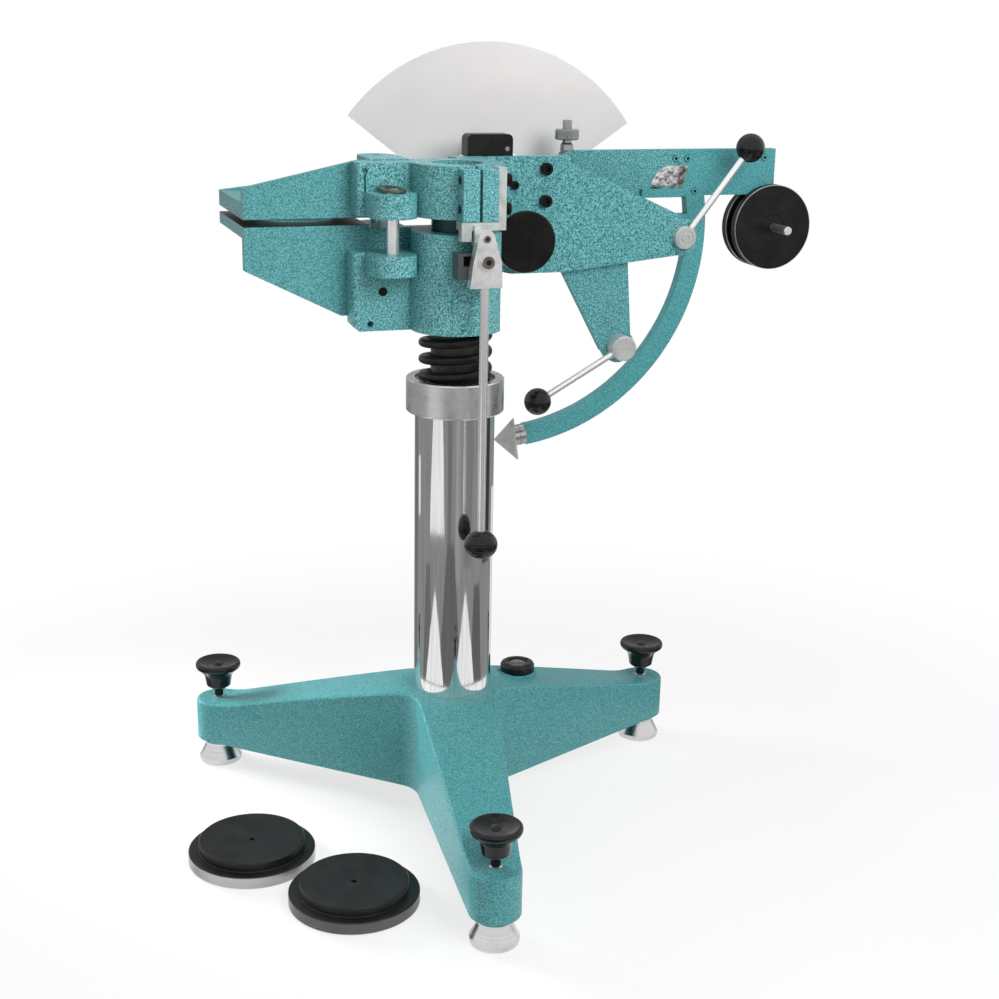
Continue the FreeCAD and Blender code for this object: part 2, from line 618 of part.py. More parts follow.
def lower_jaw():
    z0, z1 = LOWER_JAW_Z
    plate = box(JAW_LEFT_X, JAW_ROOT_X, JAW_FRONT_Y, JAW_BACK_Y, z0, z1)
    low = LOWER_WEB_BOTTOM_Z
    side = [(JAW_LEFT_X, z1), (JAW_LEFT_X, LOWER_WEB_LEFT_Z), (LOWER_WEB_SLOPE_END_X, low),
            (JAW_ROOT_X, low), (JAW_ROOT_X, z1)]
    front_web = plate_xz(side, JAW_FRONT_Y, JAW_FRONT_Y + JAW_WEB)
    rear_side = [(JAW_LEFT_X, z0 + 1), (JAW_LEFT_X, z0), (JAW_ROOT_X, z0 - 2 * REAR_WEB_H), (JAW_ROOT_X, z0 + 1)]
    rear_web = plate_xz(rear_side, JAW_BACK_Y - JAW_WEB, JAW_BACK_Y)
    root = box(JAW_ROOT_X - JAW_WEB, JAW_ROOT_X, JAW_FRONT_Y, SLEEVE_R, low, z1)
    jaw = plate.fuse([front_web, rear_web, root])
    window = rod_z(JAW_WINDOW_R, z0 - 1, z1 + 1, JAW_WINDOW_X, JAW_WINDOW_Y)
    sink = Part.makeCone(JAW_WINDOW_R + 5, JAW_WINDOW_R, 5, V(JAW_WINDOW_X, JAW_WINDOW_Y, z0))
    return jaw.cut(window).cut(sink).removeSplitter()


def guide_pins():
    front = rod_z(GUIDE_PIN_R, GUIDE_PIN_BOTTOM_Z, UPPER_LUG_TOP_Z + CLIP_H + 2, LUG_X, LUG_Y)
    rear = rod_z(GUIDE_PIN_R, GUIDE_PIN_BOTTOM_Z, REAR_PIN_TOP_Z - 0.5, REAR_BOSS_X, REAR_BOSS_Y)
    return Part.makeCompound([front, rear])


def pin_clip():
    ring = rod_z(CLIP_R, UPPER_LUG_TOP_Z, UPPER_LUG_TOP_Z + CLIP_H, LUG_X, LUG_Y)
    ring = ring.cut(rod_z(GUIDE_PIN_R, UPPER_LUG_TOP_Z - 1, UPPER_LUG_TOP_Z + CLIP_H + 1, LUG_X, LUG_Y))
    gap = box(LUG_X + GUIDE_PIN_R - 2, LUG_X + CLIP_R + 1, LUG_Y - 2.5, LUG_Y + 2.5,
              UPPER_LUG_TOP_Z - 1, UPPER_LUG_TOP_Z + CLIP_H + 1)
    return ring.cut(gap)


def casting_screws():
    # A countersunk screw in the lower block, flush with its face.
    z = (LOWER_BOTTOM_Z + LOWER_BLOCK_TOP_Z) / 2
    return socket_screw(5.5, 1.2, 10, -94.5, BLOCK_FRONT_Y, z, False)


def clamp_bolts():
    bolts = []
    head_x = EARS_X[1] + BRACKET_T
    for z in CLAMP_BOLT_Z:
        shank = rod_x(CLAMP_BOLT_R, EARS_X[0] - 1, head_x, CLAMP_BOLT_Y, z)
        head = rod_x(CLAMP_BOLT_HEAD_R, head_x, head_x + CLAMP_BOLT_HEAD_H, CLAMP_BOLT_Y, z)
        hexagon = rod_x(0.5 * CLAMP_BOLT_HEAD_R, head_x + CLAMP_BOLT_HEAD_H / 2,
                        head_x + CLAMP_BOLT_HEAD_H + 1, CLAMP_BOLT_Y, z)
        bolts.append(shank.fuse(head).cut(hexagon))
    return Part.makeCompound(bolts)


def corner_bracket():
    x0, x1 = EARS_X
    y0 = EARS_FRONT_Y
    y1 = EARS_FRONT_Y + BRACKET_DEPTH
    low = EARS_BOTTOM_Z - BRACKET_T
    bracket = box(x1, x1 + BRACKET_T, y0, y1, low, BRACKET_TOP_Z)
    bracket = bracket.fuse(box(x0 - 2, x1 + 1, y0, y1, low, EARS_BOTTOM_Z))
    tab_w, tab_h = BRACKET_TAB
    bracket = bracket.fuse(box(x0 - 2, x0 - 2 + tab_w, y0, y0 + tab_w, low - tab_h, low + 1))
    front = LEVER_BACK_Y + LEVER_GAP
    half = ANCHOR_HALF_WIDTH
    bracket = bracket.fuse(box(LEVER_X - half, LEVER_X + half, front, front + 14, ANCHOR_BOTTOM_Z, low + 1))
    bracket = bracket.fuse(box(LEVER_X - half, LEVER_X + half, front, y0 + 1, low, EARS_BOTTOM_Z - 3))
    bracket = bracket.cut(rod_y(LEVER_PIN_R + RUNNING, front - 1, y1, LEVER_X, LEVER_PIVOT_Z))
    for z in CLAMP_BOLT_Z:
        bracket = bracket.cut(rod_x(CLAMP_BOLT_R, x1 - 1, x1 + BRACKET_T + 1, CLAMP_BOLT_Y, z))
    return bracket.removeSplitter()


# Clamp lever

def lever_head():
    front = LEVER_BACK_Y - LEVER_HEAD_T
    top_z = LEVER_PIVOT_Z
    low_half = LEVER_HEAD_BOTTOM_HALF
    low = LEVER_HEAD_BOTTOM_Z
    r = LEVER_HEAD_TOP_R
    outline = [(LEVER_X - low_half, low), (LEVER_X - low_half + 3, low + 28), (LEVER_X - r, top_z),
               (LEVER_X + r, top_z), (LEVER_X + low_half - 1, low + 32), (LEVER_X + low_half, low)]
    head = plate_xz(outline, front, LEVER_BACK_Y)
    head = head.fuse(rod_y(r, front, LEVER_BACK_Y, LEVER_X, top_z))
    for z in (LEVER_PIVOT_Z, LEVER_PIVOT_Z - LEVER_PIN_GAP):
        head = head.cut(rod_y(LEVER_HEAD_BORE_R, front - 1, LEVER_BACK_Y + 1, LEVER_X, z))
    return head.removeSplitter()


def lever_pins():
    front = LEVER_BACK_Y - LEVER_HEAD_T
    pivot_end = LEVER_BACK_Y + LEVER_GAP + 12
    pivot = rod_y(LEVER_PIN_R, front - 1.5, pivot_end, LEVER_X, LEVER_PIVOT_Z)
    low_z = LEVER_PIVOT_Z - LEVER_PIN_GAP
    lifter = rod_y(LEVER_PIN_R, front, -SLEEVE_R - 8, LEVER_X, low_z)
    washer = rod_y(LEVER_WASHER_R, front - 2.5, front, LEVER_X, low_z)
    head = socket_screw(LEVER_SCREW_HEAD_R, 5, 0, LEVER_X, front - 2.5, low_z, False)
    return Part.makeCompound([pivot, lifter.fuse([washer, head]).removeSplitter()])


def lever_rod():
    low = LEVER_KNOB_Z + LEVER_KNOB_HALF_H - 4
    length = LEVER_HEAD_BOTTOM_Z - low
    rod = Part.makeCone(LEVER_ROD_TIP_R, LEVER_ROD_R, length, V(LEVER_X, LEVER_Y, low))
    return rod


def lever_knob():
    steps = 9
    profile = [(0, LEVER_KNOB_Z - LEVER_KNOB_HALF_H)]
    for i in range(1, steps):
        angle = -math.pi / 2 + math.pi * i / steps
        profile.append((LEVER_KNOB_R * math.cos(angle), LEVER_KNOB_Z + LEVER_KNOB_HALF_H * math.sin(angle)))
    profile.append((0, LEVER_KNOB_Z + LEVER_KNOB_HALF_H))
    knob = turned_z(profile, LEVER_X, LEVER_Y)
    bore = rod_z(LEVER_ROD_R, LEVER_KNOB_Z + LEVER_KNOB_HALF_H - 4, LEVER_KNOB_Z + 2 * LEVER_KNOB_R,
                 LEVER_X, LEVER_Y)
    return knob.cut(bore)


# Side plate and pivot

def side_plate():
    y0, y1 = PLATE_FRONT_Y, PLATE_BACK_Y
    lobe_top = (RELEASE_X + 0.45 * RELEASE_LOBE_R, RELEASE_Z + 0.89 * RELEASE_LOBE_R)
    lobe_low = (RELEASE_X - 0.1 * RELEASE_LOBE_R, RELEASE_Z - 0.99 * RELEASE_LOBE_R)
    low = PIVOT_Z - PLATE_BARREL_R
    outline = [(PLATE_LEFT_X, UPPER_TOP_Z), (PLATE_TOP_RIGHT_X, UPPER_TOP_Z), lobe_top, lobe_low,
               (PIVOT_X + 70, low), (PIVOT_X, low), (PIVOT_X - PLATE_BARREL_R, PIVOT_Z), (PLATE_LEFT_X, 812)]
    plate = plate_xz(outline, y0, y1)
    plate = plate.fuse(rod_y(RELEASE_LOBE_R, y0, y1, RELEASE_X, RELEASE_Z))
    plate = plate.fuse(rod_y(PLATE_BARREL_R, y0, y1, PIVOT_X, PIVOT_Z))
    plate = plate.cut(rod_y(BARREL_R, y0 - 1, y1 + 1, PIVOT_X, PIVOT_Z))
    plate = plate.cut(rod_y(HANDLE_SHAFT_R + RUNNING, y0 - 1, y1 + 1, RELEASE_X, RELEASE_Z))
    for z in SIDE_SCREW_Z:
        plate = plate.cut(rod_y(0.6 * SIDE_SCREW_R, y0 - 1, y1 + 1, SIDE_SCREW_X, z))
    return plate.removeSplitter()


def side_plate_screws():
    screws = [socket_screw(SIDE_SCREW_R, 8, PLATE_T + FLANGE_T - 2, SIDE_SCREW_X, PLATE_FRONT_Y, z, True)
              for z in SIDE_SCREW_Z]
    return Part.makeCompound(screws)


def bearing_barrel():
    y0, y1 = BARREL_FRONT_Y, BARREL_BACK_Y
    barrel = rod_y(BARREL_R, y0, y1, PIVOT_X, PIVOT_Z)
    barrel = barrel.cut(rod_y(PIVOT_SHAFT_R + 6, y0 - 1, y1 + 1, PIVOT_X, PIVOT_Z))
    barrel = barrel.cut(rod_y(BEARING_R, y0 - 1, y0 + BEARING_W, PIVOT_X, PIVOT_Z))
    return barrel.cut(rod_y(BEARING_R, y1 - BEARING_W, y1 + 1, PIVOT_X, PIVOT_Z))


def pivot_bearings():
    rings = []
    for y in (BARREL_FRONT_Y, BARREL_BACK_Y - BEARING_W):
        ring = rod_y(BEARING_R, y, y + BEARING_W, PIVOT_X, PIVOT_Z)
        rings.append(ring.cut(rod_y(PIVOT_SHAFT_R + RUNNING, y - 1, y + BEARING_W + 1, PIVOT_X, PIVOT_Z)))
    return Part.makeCompound(rings)


def barrel_cap():
    y0 = BARREL_FRONT_Y - CAP_T
    profile = [(0, y0), (BARREL_R - 2, y0), (BARREL_R, y0 + 2), (BARREL_R, BARREL_FRONT_Y), (0, BARREL_FRONT_Y)]
    return turned_y(profile, PIVOT_X, PIVOT_Z)


def catch_bracket():
    y0 = PLATE_BACK_Y
    y1 = PLATE_BACK_Y + TRIANGLE_T
    left, right = TRIANGLE_TOP
    foot_left, foot_right = TRIANGLE_FOOT
    rise = TRIANGLE_OVERLAP_H
    outline = [(left[0], left[1] + rise), (right[0], right[1] + rise), right, foot_right, foot_left, left]
    bracket = plate_xz(outline, y0, y1)
    bracket = bracket.fuse(rod_y(LOCK_BOSS_R, y0, y1, LOCK_X, LOCK_Z))
    bracket = bracket.cut(rod_y(HANDLE_SHAFT_R + RUNNING, y0 - 1, y1 + 1, LOCK_X, LOCK_Z))
    return bracket.removeSplitter()


def bracket_screws():
    z = PIVOT_Z - PLATE_BARREL_R + TRIANGLE_OVERLAP_H / 2 + 4
    screws = [rod_y(5, PLATE_BACK_Y + TRIANGLE_T, PLATE_BACK_Y + TRIANGLE_T + 3, x, z) for x in TRIANGLE_SCREW_X]
    return Part.makeCompound(screws)


# Dial

def dial_bracket():
    x0, x1 = DIAL_BLOCK_X
    y0 = DIAL_BLOCK_Y
    z0 = UPPER_TOP_Z - 1
    block = box(x0, x1, y0, y0 + DIAL_BLOCK_DEPTH, z0, DIAL_BLOCK_TOP_Z)

    def top_corner(edge):
        length = edge.BoundBox
        return length.YLength > 1 and length.XLength + length.ZLength < 0.01 and middle(edge).z > z0 + 1

    block = rounded(block, DIAL_BLOCK_ROUND, top_corner)
    bar = box(DIAL_BAR_X[0], DIAL_BAR_X[1], y0 + DIAL_BLOCK_DEPTH - 1, DIAL_Y, z0 + 4, z0 + 4 + DIAL_BAR_H)
    block = block.fuse(bar)
    block = block.cut(rod_y(2.5, y0 - 1, y0 + 6, x1 - 8, z0 + 9))
    return block.removeSplitter()


def dial_plate():
    low, high = (math.radians(a) for a in DIAL_DEG)
    centre = V(PIVOT_X, DIAL_Y, PIVOT_Z)

    def at(radius, angle):
        return centre + V(radius * math.cos(angle), 0, radius * math.sin(angle))

    mid = (low + high) / 2
    outer = Part.Arc(at(DIAL_OUTER_R, low), at(DIAL_OUTER_R, mid), at(DIAL_OUTER_R, high)).toShape()
    inner = Part.Arc(at(DIAL_INNER_R, high), at(DIAL_INNER_R, mid), at(DIAL_INNER_R, low)).toShape()
    left = Part.LineSegment(at(DIAL_OUTER_R, high), at(DIAL_INNER_R, high)).toShape()
    right = Part.LineSegment(at(DIAL_INNER_R, low), at(DIAL_OUTER_R, low)).toShape()
    sector = Part.Face(Part.Wire([outer, left, inner, right])).extrude(V(0, DIAL_T, 0))
    return sector


def pointer():
    y0 = DIAL_Y + DIAL_T + 2
    hub = rod_y(POINTER_HUB_R, y0, y0 + POINTER_HUB_L, PIVOT_X, PIVOT_Z)
    blade = [(0, -5), (POINTER_LENGTH * 0.8, -2.5), (POINTER_LENGTH, 0), (POINTER_LENGTH * 0.8, 2.5), (0, 5)]
    blade = plate_xz(blade, y0, y0 + POINTER_T).translated(V(PIVOT_X, 0, PIVOT_Z))
    hand = hub.fuse(blade)
    hand = hand.cut(rod_y(POINTER_SPINDLE_R + RUNNING, y0 - 1, y0 + POINTER_HUB_L + 1, PIVOT_X, PIVOT_Z))
    return hand.rotate(V(PIVOT_X, 0, PIVOT_Z), V(0, -1, 0), POINTER_REST_DEG)


# Pendulum

def pendulum_frame():
    y0, y1 = PENDULUM_FRONT_Y, PENDULUM_BACK_Y
    low, high = BEAM_Z
    beam = box(BEAM_LEFT_X, BEAM_JOINT_X, y0, y1, low, high)

    def corner(edge):
        return edge.BoundBox.YLength > 1 and middle(edge).x < BEAM_LEFT_X + 1 and middle(edge).z > high - 1

    beam = rounded(beam, BEAM_CORNER_R, corner)
    web = [(PIVOT_X - 20, PIVOT_Z + 34), (BEAM_LEFT_X, high - 14), (BEAM_LEFT_X + 90, low + 2),
           (BEAM_LEFT_X + 90, low - 8), (PIVOT_X + 20, PIVOT_Z - 34)]
    frame = beam.fuse(plate_xz(web, y0, y1))
    frame = frame.fuse(rod_y(PENDULUM_HUB_R, y0, y1, PIVOT_X, PIVOT_Z))
    frame = frame.cut(rod_y(PIVOT_SHAFT_R, y0 - 1, y1 + 1, PIVOT_X, PIVOT_Z))
    frame = frame.cut(rod_z(TRIM_R, high - 12, high + 1, TRIM_X, PENDULUM_Y))
    return frame.removeSplitter()


def beam_end():
    y0, y1 = PENDULUM_FRONT_Y, PENDULUM_BACK_Y
    low, high = BEAM_Z
    end = box(BEAM_JOINT_X, BEAM_RIGHT_X, y0, y1, low, high)
    hanger = [(WEIGHT_X - HANGER_R, PIVOT_Z), (WEIGHT_X - HANGER_R, low + 1), (BEAM_RIGHT_X, low + 1),
              (BEAM_RIGHT_X, PIVOT_Z)]
    end = end.fuse(plate_xz(hanger, y0, y1))
    end = end.fuse(rod_y(HANGER_R, y0, y1, WEIGHT_X, PIVOT_Z))
    end = end.cut(rod_y(STUD_SHANK_R, y0 - 1, y1 + 1, WEIGHT_X, PIVOT_Z))
    return end.removeSplitter()


def arc_arm():
    y0, y1 = PENDULUM_FRONT_Y, PENDULUM_BACK_Y
    outer = ARC_MEAN_R + ARC_WIDTH / 2
    inner = ARC_MEAN_R - ARC_WIDTH / 2
    low_z = BEAM_Z[0]
    top_angle = math.asin((low_z - PIVOT_Z) / inner)
    tip_angle = math.radians(ARC_TIP_DEG)
    centre = V(PIVOT_X, y0, PIVOT_Z)

    def at(radius, angle):
        return centre + V(radius * math.cos(angle), 0, radius * math.sin(angle))

    mid = (tip_angle + top_angle) / 2
    outside = Part.Arc(at(outer, tip_angle), at(outer, mid), at(outer, top_angle)).toShape()
    inside = Part.Arc(at(inner, top_angle), at(inner, mid), at(inner, tip_angle)).toShape()
    top = Part.LineSegment(at(outer, top_angle), at(inner, top_angle)).toShape()
    tip = Part.LineSegment(at(inner, tip_angle), at(outer, tip_angle)).toShape()
    arm = Part.Face(Part.Wire([outside, top, inside, tip])).extrude(V(0, y1 - y0, 0))
    arm = arm.cut(box(PIVOT_X, PIVOT_X + 2 * outer, y0 - 1, y1 + 1, low_z, low_z + ARC_WIDTH * 3))
    heel = box(PIVOT_X + inner - 14, PIVOT_X + inner + 1, y0, y1, PIVOT_Z + 8, PIVOT_Z + 20)
    return arm.fuse(heel).removeSplitter()


def tip_frame(angle_deg, radius):
    angle = math.radians(angle_deg)
    place = V(PIVOT_X + radius * math.cos(angle), PENDULUM_Y, PIVOT_Z + radius * math.sin(angle))
    forward = V(math.sin(angle), 0, -math.cos(angle))
    outward = V(math.cos(angle), 0, math.sin(angle))
    return place, forward, outward


def ferrule():
    place, forward, _ = tip_frame(ARC_TIP_DEG, ARC_MEAN_R)
    body = Part.makeCylinder(FERRULE_R, FERRULE_L, place, forward)
    groove_at = place + forward * (FERRULE_L * 0.45)
    groove = Part.makeCylinder(FERRULE_R + 1, 2, groove_at, forward)
    groove = groove.cut(Part.makeCylinder(FERRULE_R - FERRULE_GROOVE, 2, groove_at, forward))
    return body.cut(groove)


def puncture_head():
    # A low three-sided pyramid, one edge of its base towards the front.
    place, forward, outward = tip_frame(ARC_TIP_DEG, ARC_MEAN_R)
    base = place + forward * FERRULE_L
    around = POINT_EDGE / math.sqrt(3)
    sideways = V(0, 1, 0)

    def ring(radius, shift):
        corners = []
        for a in (0, 120, 240):
            s = math.radians(a)
            corners.append(base + forward * shift + sideways * (radius * math.cos(s)) + outward * (radius * math.sin(s)))
        return Part.makePolygon(corners + corners[:1])

    slab = Part.Face(ring(around, 0)).extrude(forward * POINT_BASE_T)
    cone = Part.makeLoft([ring(around, POINT_BASE_T), ring(0.6, POINT_BASE_T + POINT_H)], True, True)
    return slab.fuse(cone).removeSplitter()


def stop_block():
    return box(STOP_X[0], STOP_X[1], PENDULUM_FRONT_Y - STOP_T, PENDULUM_FRONT_Y, *STOP_Z)


def striker_plate():
    # A steel catch insert with a curved left shoulder, on the beam's front face.
    y0 = PENDULUM_FRONT_Y - STRIKER_T
    low = STOP_Z[1]
    x0 = STOP_X[0] + 15
    high = BEAM_Z[1] - 22
    corner = Part.Arc(V(x0, y0, low), V(x0 + 5.5, y0, high - 9), V(x0 + 20, y0, high)).toShape()
    top = Part.LineSegment(V(x0 + 20, y0, high), V(x0 + 57, y0, high)).toShape()
    slant = Part.LineSegment(V(x0 + 57, y0, high), V(x0 + 48, y0, low)).toShape()
    base = Part.LineSegment(V(x0 + 48, y0, low), V(x0, y0, low)).toShape()
    return Part.Face(Part.Wire([corner, top, slant, base])).extrude(V(0, STRIKER_T, 0))


def pivot_shaft():
    y0 = BARREL_FRONT_Y + 1
    nut_y = PENDULUM_BACK_Y + 3
    shaft = rod_y(PIVOT_SHAFT_R, y0, nut_y + PIVOT_NUT_H, PIVOT_X, PIVOT_Z)
    spindle_end = DIAL_Y + DIAL_T + 2 + POINTER_HUB_L + 4
    shaft = shaft.fuse(rod_y(POINTER_SPINDLE_R, nut_y + PIVOT_NUT_H - 1, spindle_end, PIVOT_X, PIVOT_Z))
    spacer = rod_y(PIVOT_SHAFT_R + 8, BARREL_BACK_Y + SEAT, PENDULUM_FRONT_Y, PIVOT_X, PIVOT_Z)
    return shaft.fuse(spacer).removeSplitter()


def hex_nut(across, y0, y1, x, z, bore):
    corner = across / math.sqrt(3)
    points = [(x + corner * math.cos(a * math.pi / 3), z + corner * math.sin(a * math.pi / 3)) for a in range(6)]
    return plate_xz(points, y0, y1).cut(rod_y(bore, y0 - 1, y1 + 1, x, z))


def pendulum_nuts():
    y = PENDULUM_BACK_Y
    pivot_nut = hex_nut(PIVOT_NUT_ACROSS, y, y + PIVOT_NUT_H, PIVOT_X, PIVOT_Z, PIVOT_SHAFT_R)
    stud_y = PENDULUM_BACK_Y + WEIGHT_T
    stud_nut = hex_nut(STUD_NUT_ACROSS, stud_y, stud_y + STUD_NUT_H, WEIGHT_X, PIVOT_Z, STUD_SHANK_R)
    return Part.makeCompound([pivot_nut, stud_nut])


def beam_weight(y0):
    y1 = y0 + WEIGHT_T
    bore = STUD_SHANK_R
    edge = WEIGHT_EDGE
    profile = [(bore, y0), (WEIGHT_R - edge, y0), (WEIGHT_R, y0 + edge), (WEIGHT_R, y1 - edge),
               (WEIGHT_R - edge, y1), (bore, y1)]
    return turned_y(profile, WEIGHT_X, PIVOT_Z)


def weight_stud():
    # A shouldered stud: the thick end is free, for more weights, and the shank holds two.
    end = PENDULUM_BACK_Y + WEIGHT_T + STUD_NUT_H + 4
    step = PENDULUM_FRONT_Y - WEIGHT_T - STUD_STEP_GAP
    nose = STUD_FRONT_Y + STUD_CHAMFER
    profile = [(0, STUD_FRONT_Y), (STUD_R - STUD_CHAMFER, STUD_FRONT_Y), (STUD_R, nose), (STUD_R, step),
               (STUD_SHANK_R, step), (STUD_SHANK_R, end), (0, end)]
    return turned_y(profile, WEIGHT_X, PIVOT_Z)


def trim_stud():
    high = BEAM_Z[1]
    profile = [(0, high - 12), (TRIM_R, high - 12), (TRIM_R, high), (TRIM_NECK_R, high), (TRIM_NECK_R - 1, high + TRIM_NECK_H),
               (TRIM_R, high + TRIM_NECK_H + 2), (TRIM_R, TRIM_TOP_Z - 1), (TRIM_R - 1, TRIM_TOP_Z), (0, TRIM_TOP_Z)]
    return turned_z(profile, TRIM_X, PENDULUM_Y)


def trim_nut():
    z0, z1 = TRIM_NUT_Z
    r = TRIM_NUT_R
    bore = TRIM_R + RUNNING
    profile = [(bore, z0), (r - 1, z0), (r, z0 + 1), (r, z1 - 1), (r - 1, z1), (bore, z1)]
    return turned_z(profile, TRIM_X, PENDULUM_Y)


def beam_screws():
    y = PENDULUM_FRONT_Y
    return Part.makeCompound([rod_y(BEAM_SCREW_R, y - BEAM_SCREW_H, y, x, z) for x, z in BEAM_SCREWS])


# Release and lock handles

def handle_hub(x, z, r, front, face, back):
    hub = turned_y([(0, front), (r - 1.5, front), (r, front + 1.5), (r, face - SEAT), (0, face - SEAT)], x, z)
    shaft = rod_y(HANDLE_SHAFT_R, face - SEAT - 1, back, x, z)
    keeper = rod_y(HANDLE_SHAFT_R + 4, back - 6, back, x, z)
    return hub.fuse([shaft, keeper]).removeSplitter()


def handle_rod(x, z, hub_r, y, degrees, reach, ball_r):
    angle = math.radians(degrees)
    along = V(math.cos(angle), 0, math.sin(angle))
    centre = V(x, y, z)
    return rod_between(HANDLE_ROD_R, centre + along * hub_r, centre + along * (reach - ball_r + 1))


def handle_ball(x, z, y, degrees, reach, ball_r):
    angle = math.radians(degrees)
    centre = V(x + reach * math.cos(angle), y, z + reach * math.sin(angle))
    inward = V(-math.cos(angle), 0, -math.sin(angle))
    ball = Part.makeSphere(ball_r, centre)
    return ball.cut(Part.makeCylinder(HANDLE_ROD_R, ball_r + 2, centre + inward * (ball_r - 1), inward))


# Spare weights

def spare_weight(x, y):
    tier = SPARE_TIER_R
    profile = [(STUD_R + 0.25, 0), (SPARE_R - 1.5, 0), (SPARE_R, 1.5), (SPARE_R, SPARE_RIM_H - 1.5),
               (SPARE_R - 1.5, SPARE_RIM_H), (tier + 1, SPARE_RIM_H), (tier, SPARE_RIM_H + 1),
               (tier, SPARE_H - 2), (tier - 2, SPARE_H), (tier - 14, SPARE_H), (tier - 16, SPARE_H - 1.2),
               (STUD_R + 0.25, SPARE_H - 1.2)]
    return turned_z(profile, x, y)


def all_pieces():
    pieces = {
        "tripod_base": tripod_base(),
        "level_housing": level_housing(),
        "level_glass": level_glass(),
        "column_tube": column_tube(),
        "column_collar": column_collar(),
        "inner_shaft": inner_shaft(),
        "shaft_socket": shaft_socket(),
        "lift_spring": lift_spring(),
        "lower_casting": lower_casting(),
        "lower_jaw": lower_jaw(),
        "casting_screw": casting_screws(),
        "head_casting": head_casting(),
        "upper_jaw": upper_jaw(),
        "guide_pins": guide_pins(),
        "pin_clip": pin_clip(),
        "clamp_bolts": clamp_bolts(),
        "corner_bracket": corner_bracket(),
        "lever_head": lever_head(),
        "lever_pins": lever_pins(),
        "lever_rod": lever_rod(),
        "lever_knob": lever_knob(),
        "side_plate": side_plate(),
        "side_plate_screws": side_plate_screws(),
        "bearing_barrel": bearing_barrel(),
        "pivot_bearings": pivot_bearings(),
        "barrel_cap": barrel_cap(),
        "catch_bracket": catch_bracket(),
        "bracket_screws": bracket_screws(),
        "dial_bracket": dial_bracket(),
        "dial_plate": dial_plate(),
        "dial_pointer": pointer(),
        "pendulum_frame": pendulum_frame(),
        "beam_end": beam_end(),
        "arc_arm": arc_arm(),
        "ferrule": ferrule(),
        "puncture_head": puncture_head(),
        "stop_block": stop_block(),
        "striker_plate": striker_plate(),
        "pivot_shaft": pivot_shaft(),
        "pendulum_nuts": pendulum_nuts(),
        "weight_near": beam_weight(PENDULUM_FRONT_Y - WEIGHT_T),
        "weight_far": beam_weight(PENDULUM_BACK_Y),
        "weight_stud": weight_stud(),
        "trim_stud": trim_stud(),
        "trim_nut": trim_nut(),
        "beam_screws": beam_screws(),
    }
    release_y = (RELEASE_FRONT_Y + PLATE_FRONT_Y) / 2
    release = (RELEASE_ROD_DEG, RELEASE_REACH, RELEASE_BALL_R)
    pieces["release_hub"] = handle_hub(RELEASE_X, RELEASE_Z, RELEASE_HUB_R, RELEASE_FRONT_Y, PLATE_FRONT_Y,
                                       PLATE_BACK_Y + HANDLE_BACK_GAP)
    pieces["release_rod"] = handle_rod(RELEASE_X, RELEASE_Z, RELEASE_HUB_R, release_y, *release)
    pieces["release_ball"] = handle_ball(RELEASE_X, RELEASE_Z, release_y, *release)
    lock_face = PLATE_BACK_Y
    lock_y = LOCK_FRONT_Y + 9
    lock = (LOCK_ROD_DEG, LOCK_REACH, LOCK_BALL_R)
    pieces["lock_hub"] = handle_hub(LOCK_X, LOCK_Z, LOCK_HUB_R, LOCK_FRONT_Y, lock_face,
                                    PLATE_BACK_Y + TRIANGLE_T + HANDLE_BACK_GAP)
    pieces["lock_rod"] = handle_rod(LOCK_X, LOCK_Z, LOCK_HUB_R, lock_y, *lock)
    pieces["lock_ball"] = handle_ball(LOCK_X, LOCK_Z, lock_y, *lock)
    for name, direction in LEG_DIRECTIONS.items():
        pieces["levelling_foot_" + name] = levelling_foot(direction)
        pieces["levelling_screw_" + name] = levelling_screw(direction)
    for name, (x, y) in SPARES.items():
        pieces["spare_weight_" + name] = spare_weight(x, y)
    return pieces


def origin_shift():
    # The middle of the footprint, from the outermost pieces on each side.
    low_x = SPARES["left"][0] - SPARE_R
    high_x = WEIGHT_X + WEIGHT_R
    low_y = foot_place(LEG_DIRECTIONS["front"])[1] - LEG_TIP_R
    high_y = foot_place(LEG_DIRECTIONS["left"])[1] + LEG_TIP_R
    return V(-(low_x + high_x) / 2, -(low_y + high_y) / 2, 0)


def main():
    os.makedirs("parts", exist_ok=True)
    shift = origin_shift()
    for name, shape in all_pieces().items():
        placed = shape.translated(shift)
        placed.exportStep("parts/" + name + ".step")
        print(name, "valid" if placed.isValid() else "NOT VALID", len(placed.Solids), "solids",
              round(placed.Volume / 1000, 1), "cm3")
    print("origin shift", shift, "clamp travel", round(CLAMP_TRAVEL, 3))


main()
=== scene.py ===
import math

import bmesh
import bpy
from mathutils import Matrix, Vector, noise

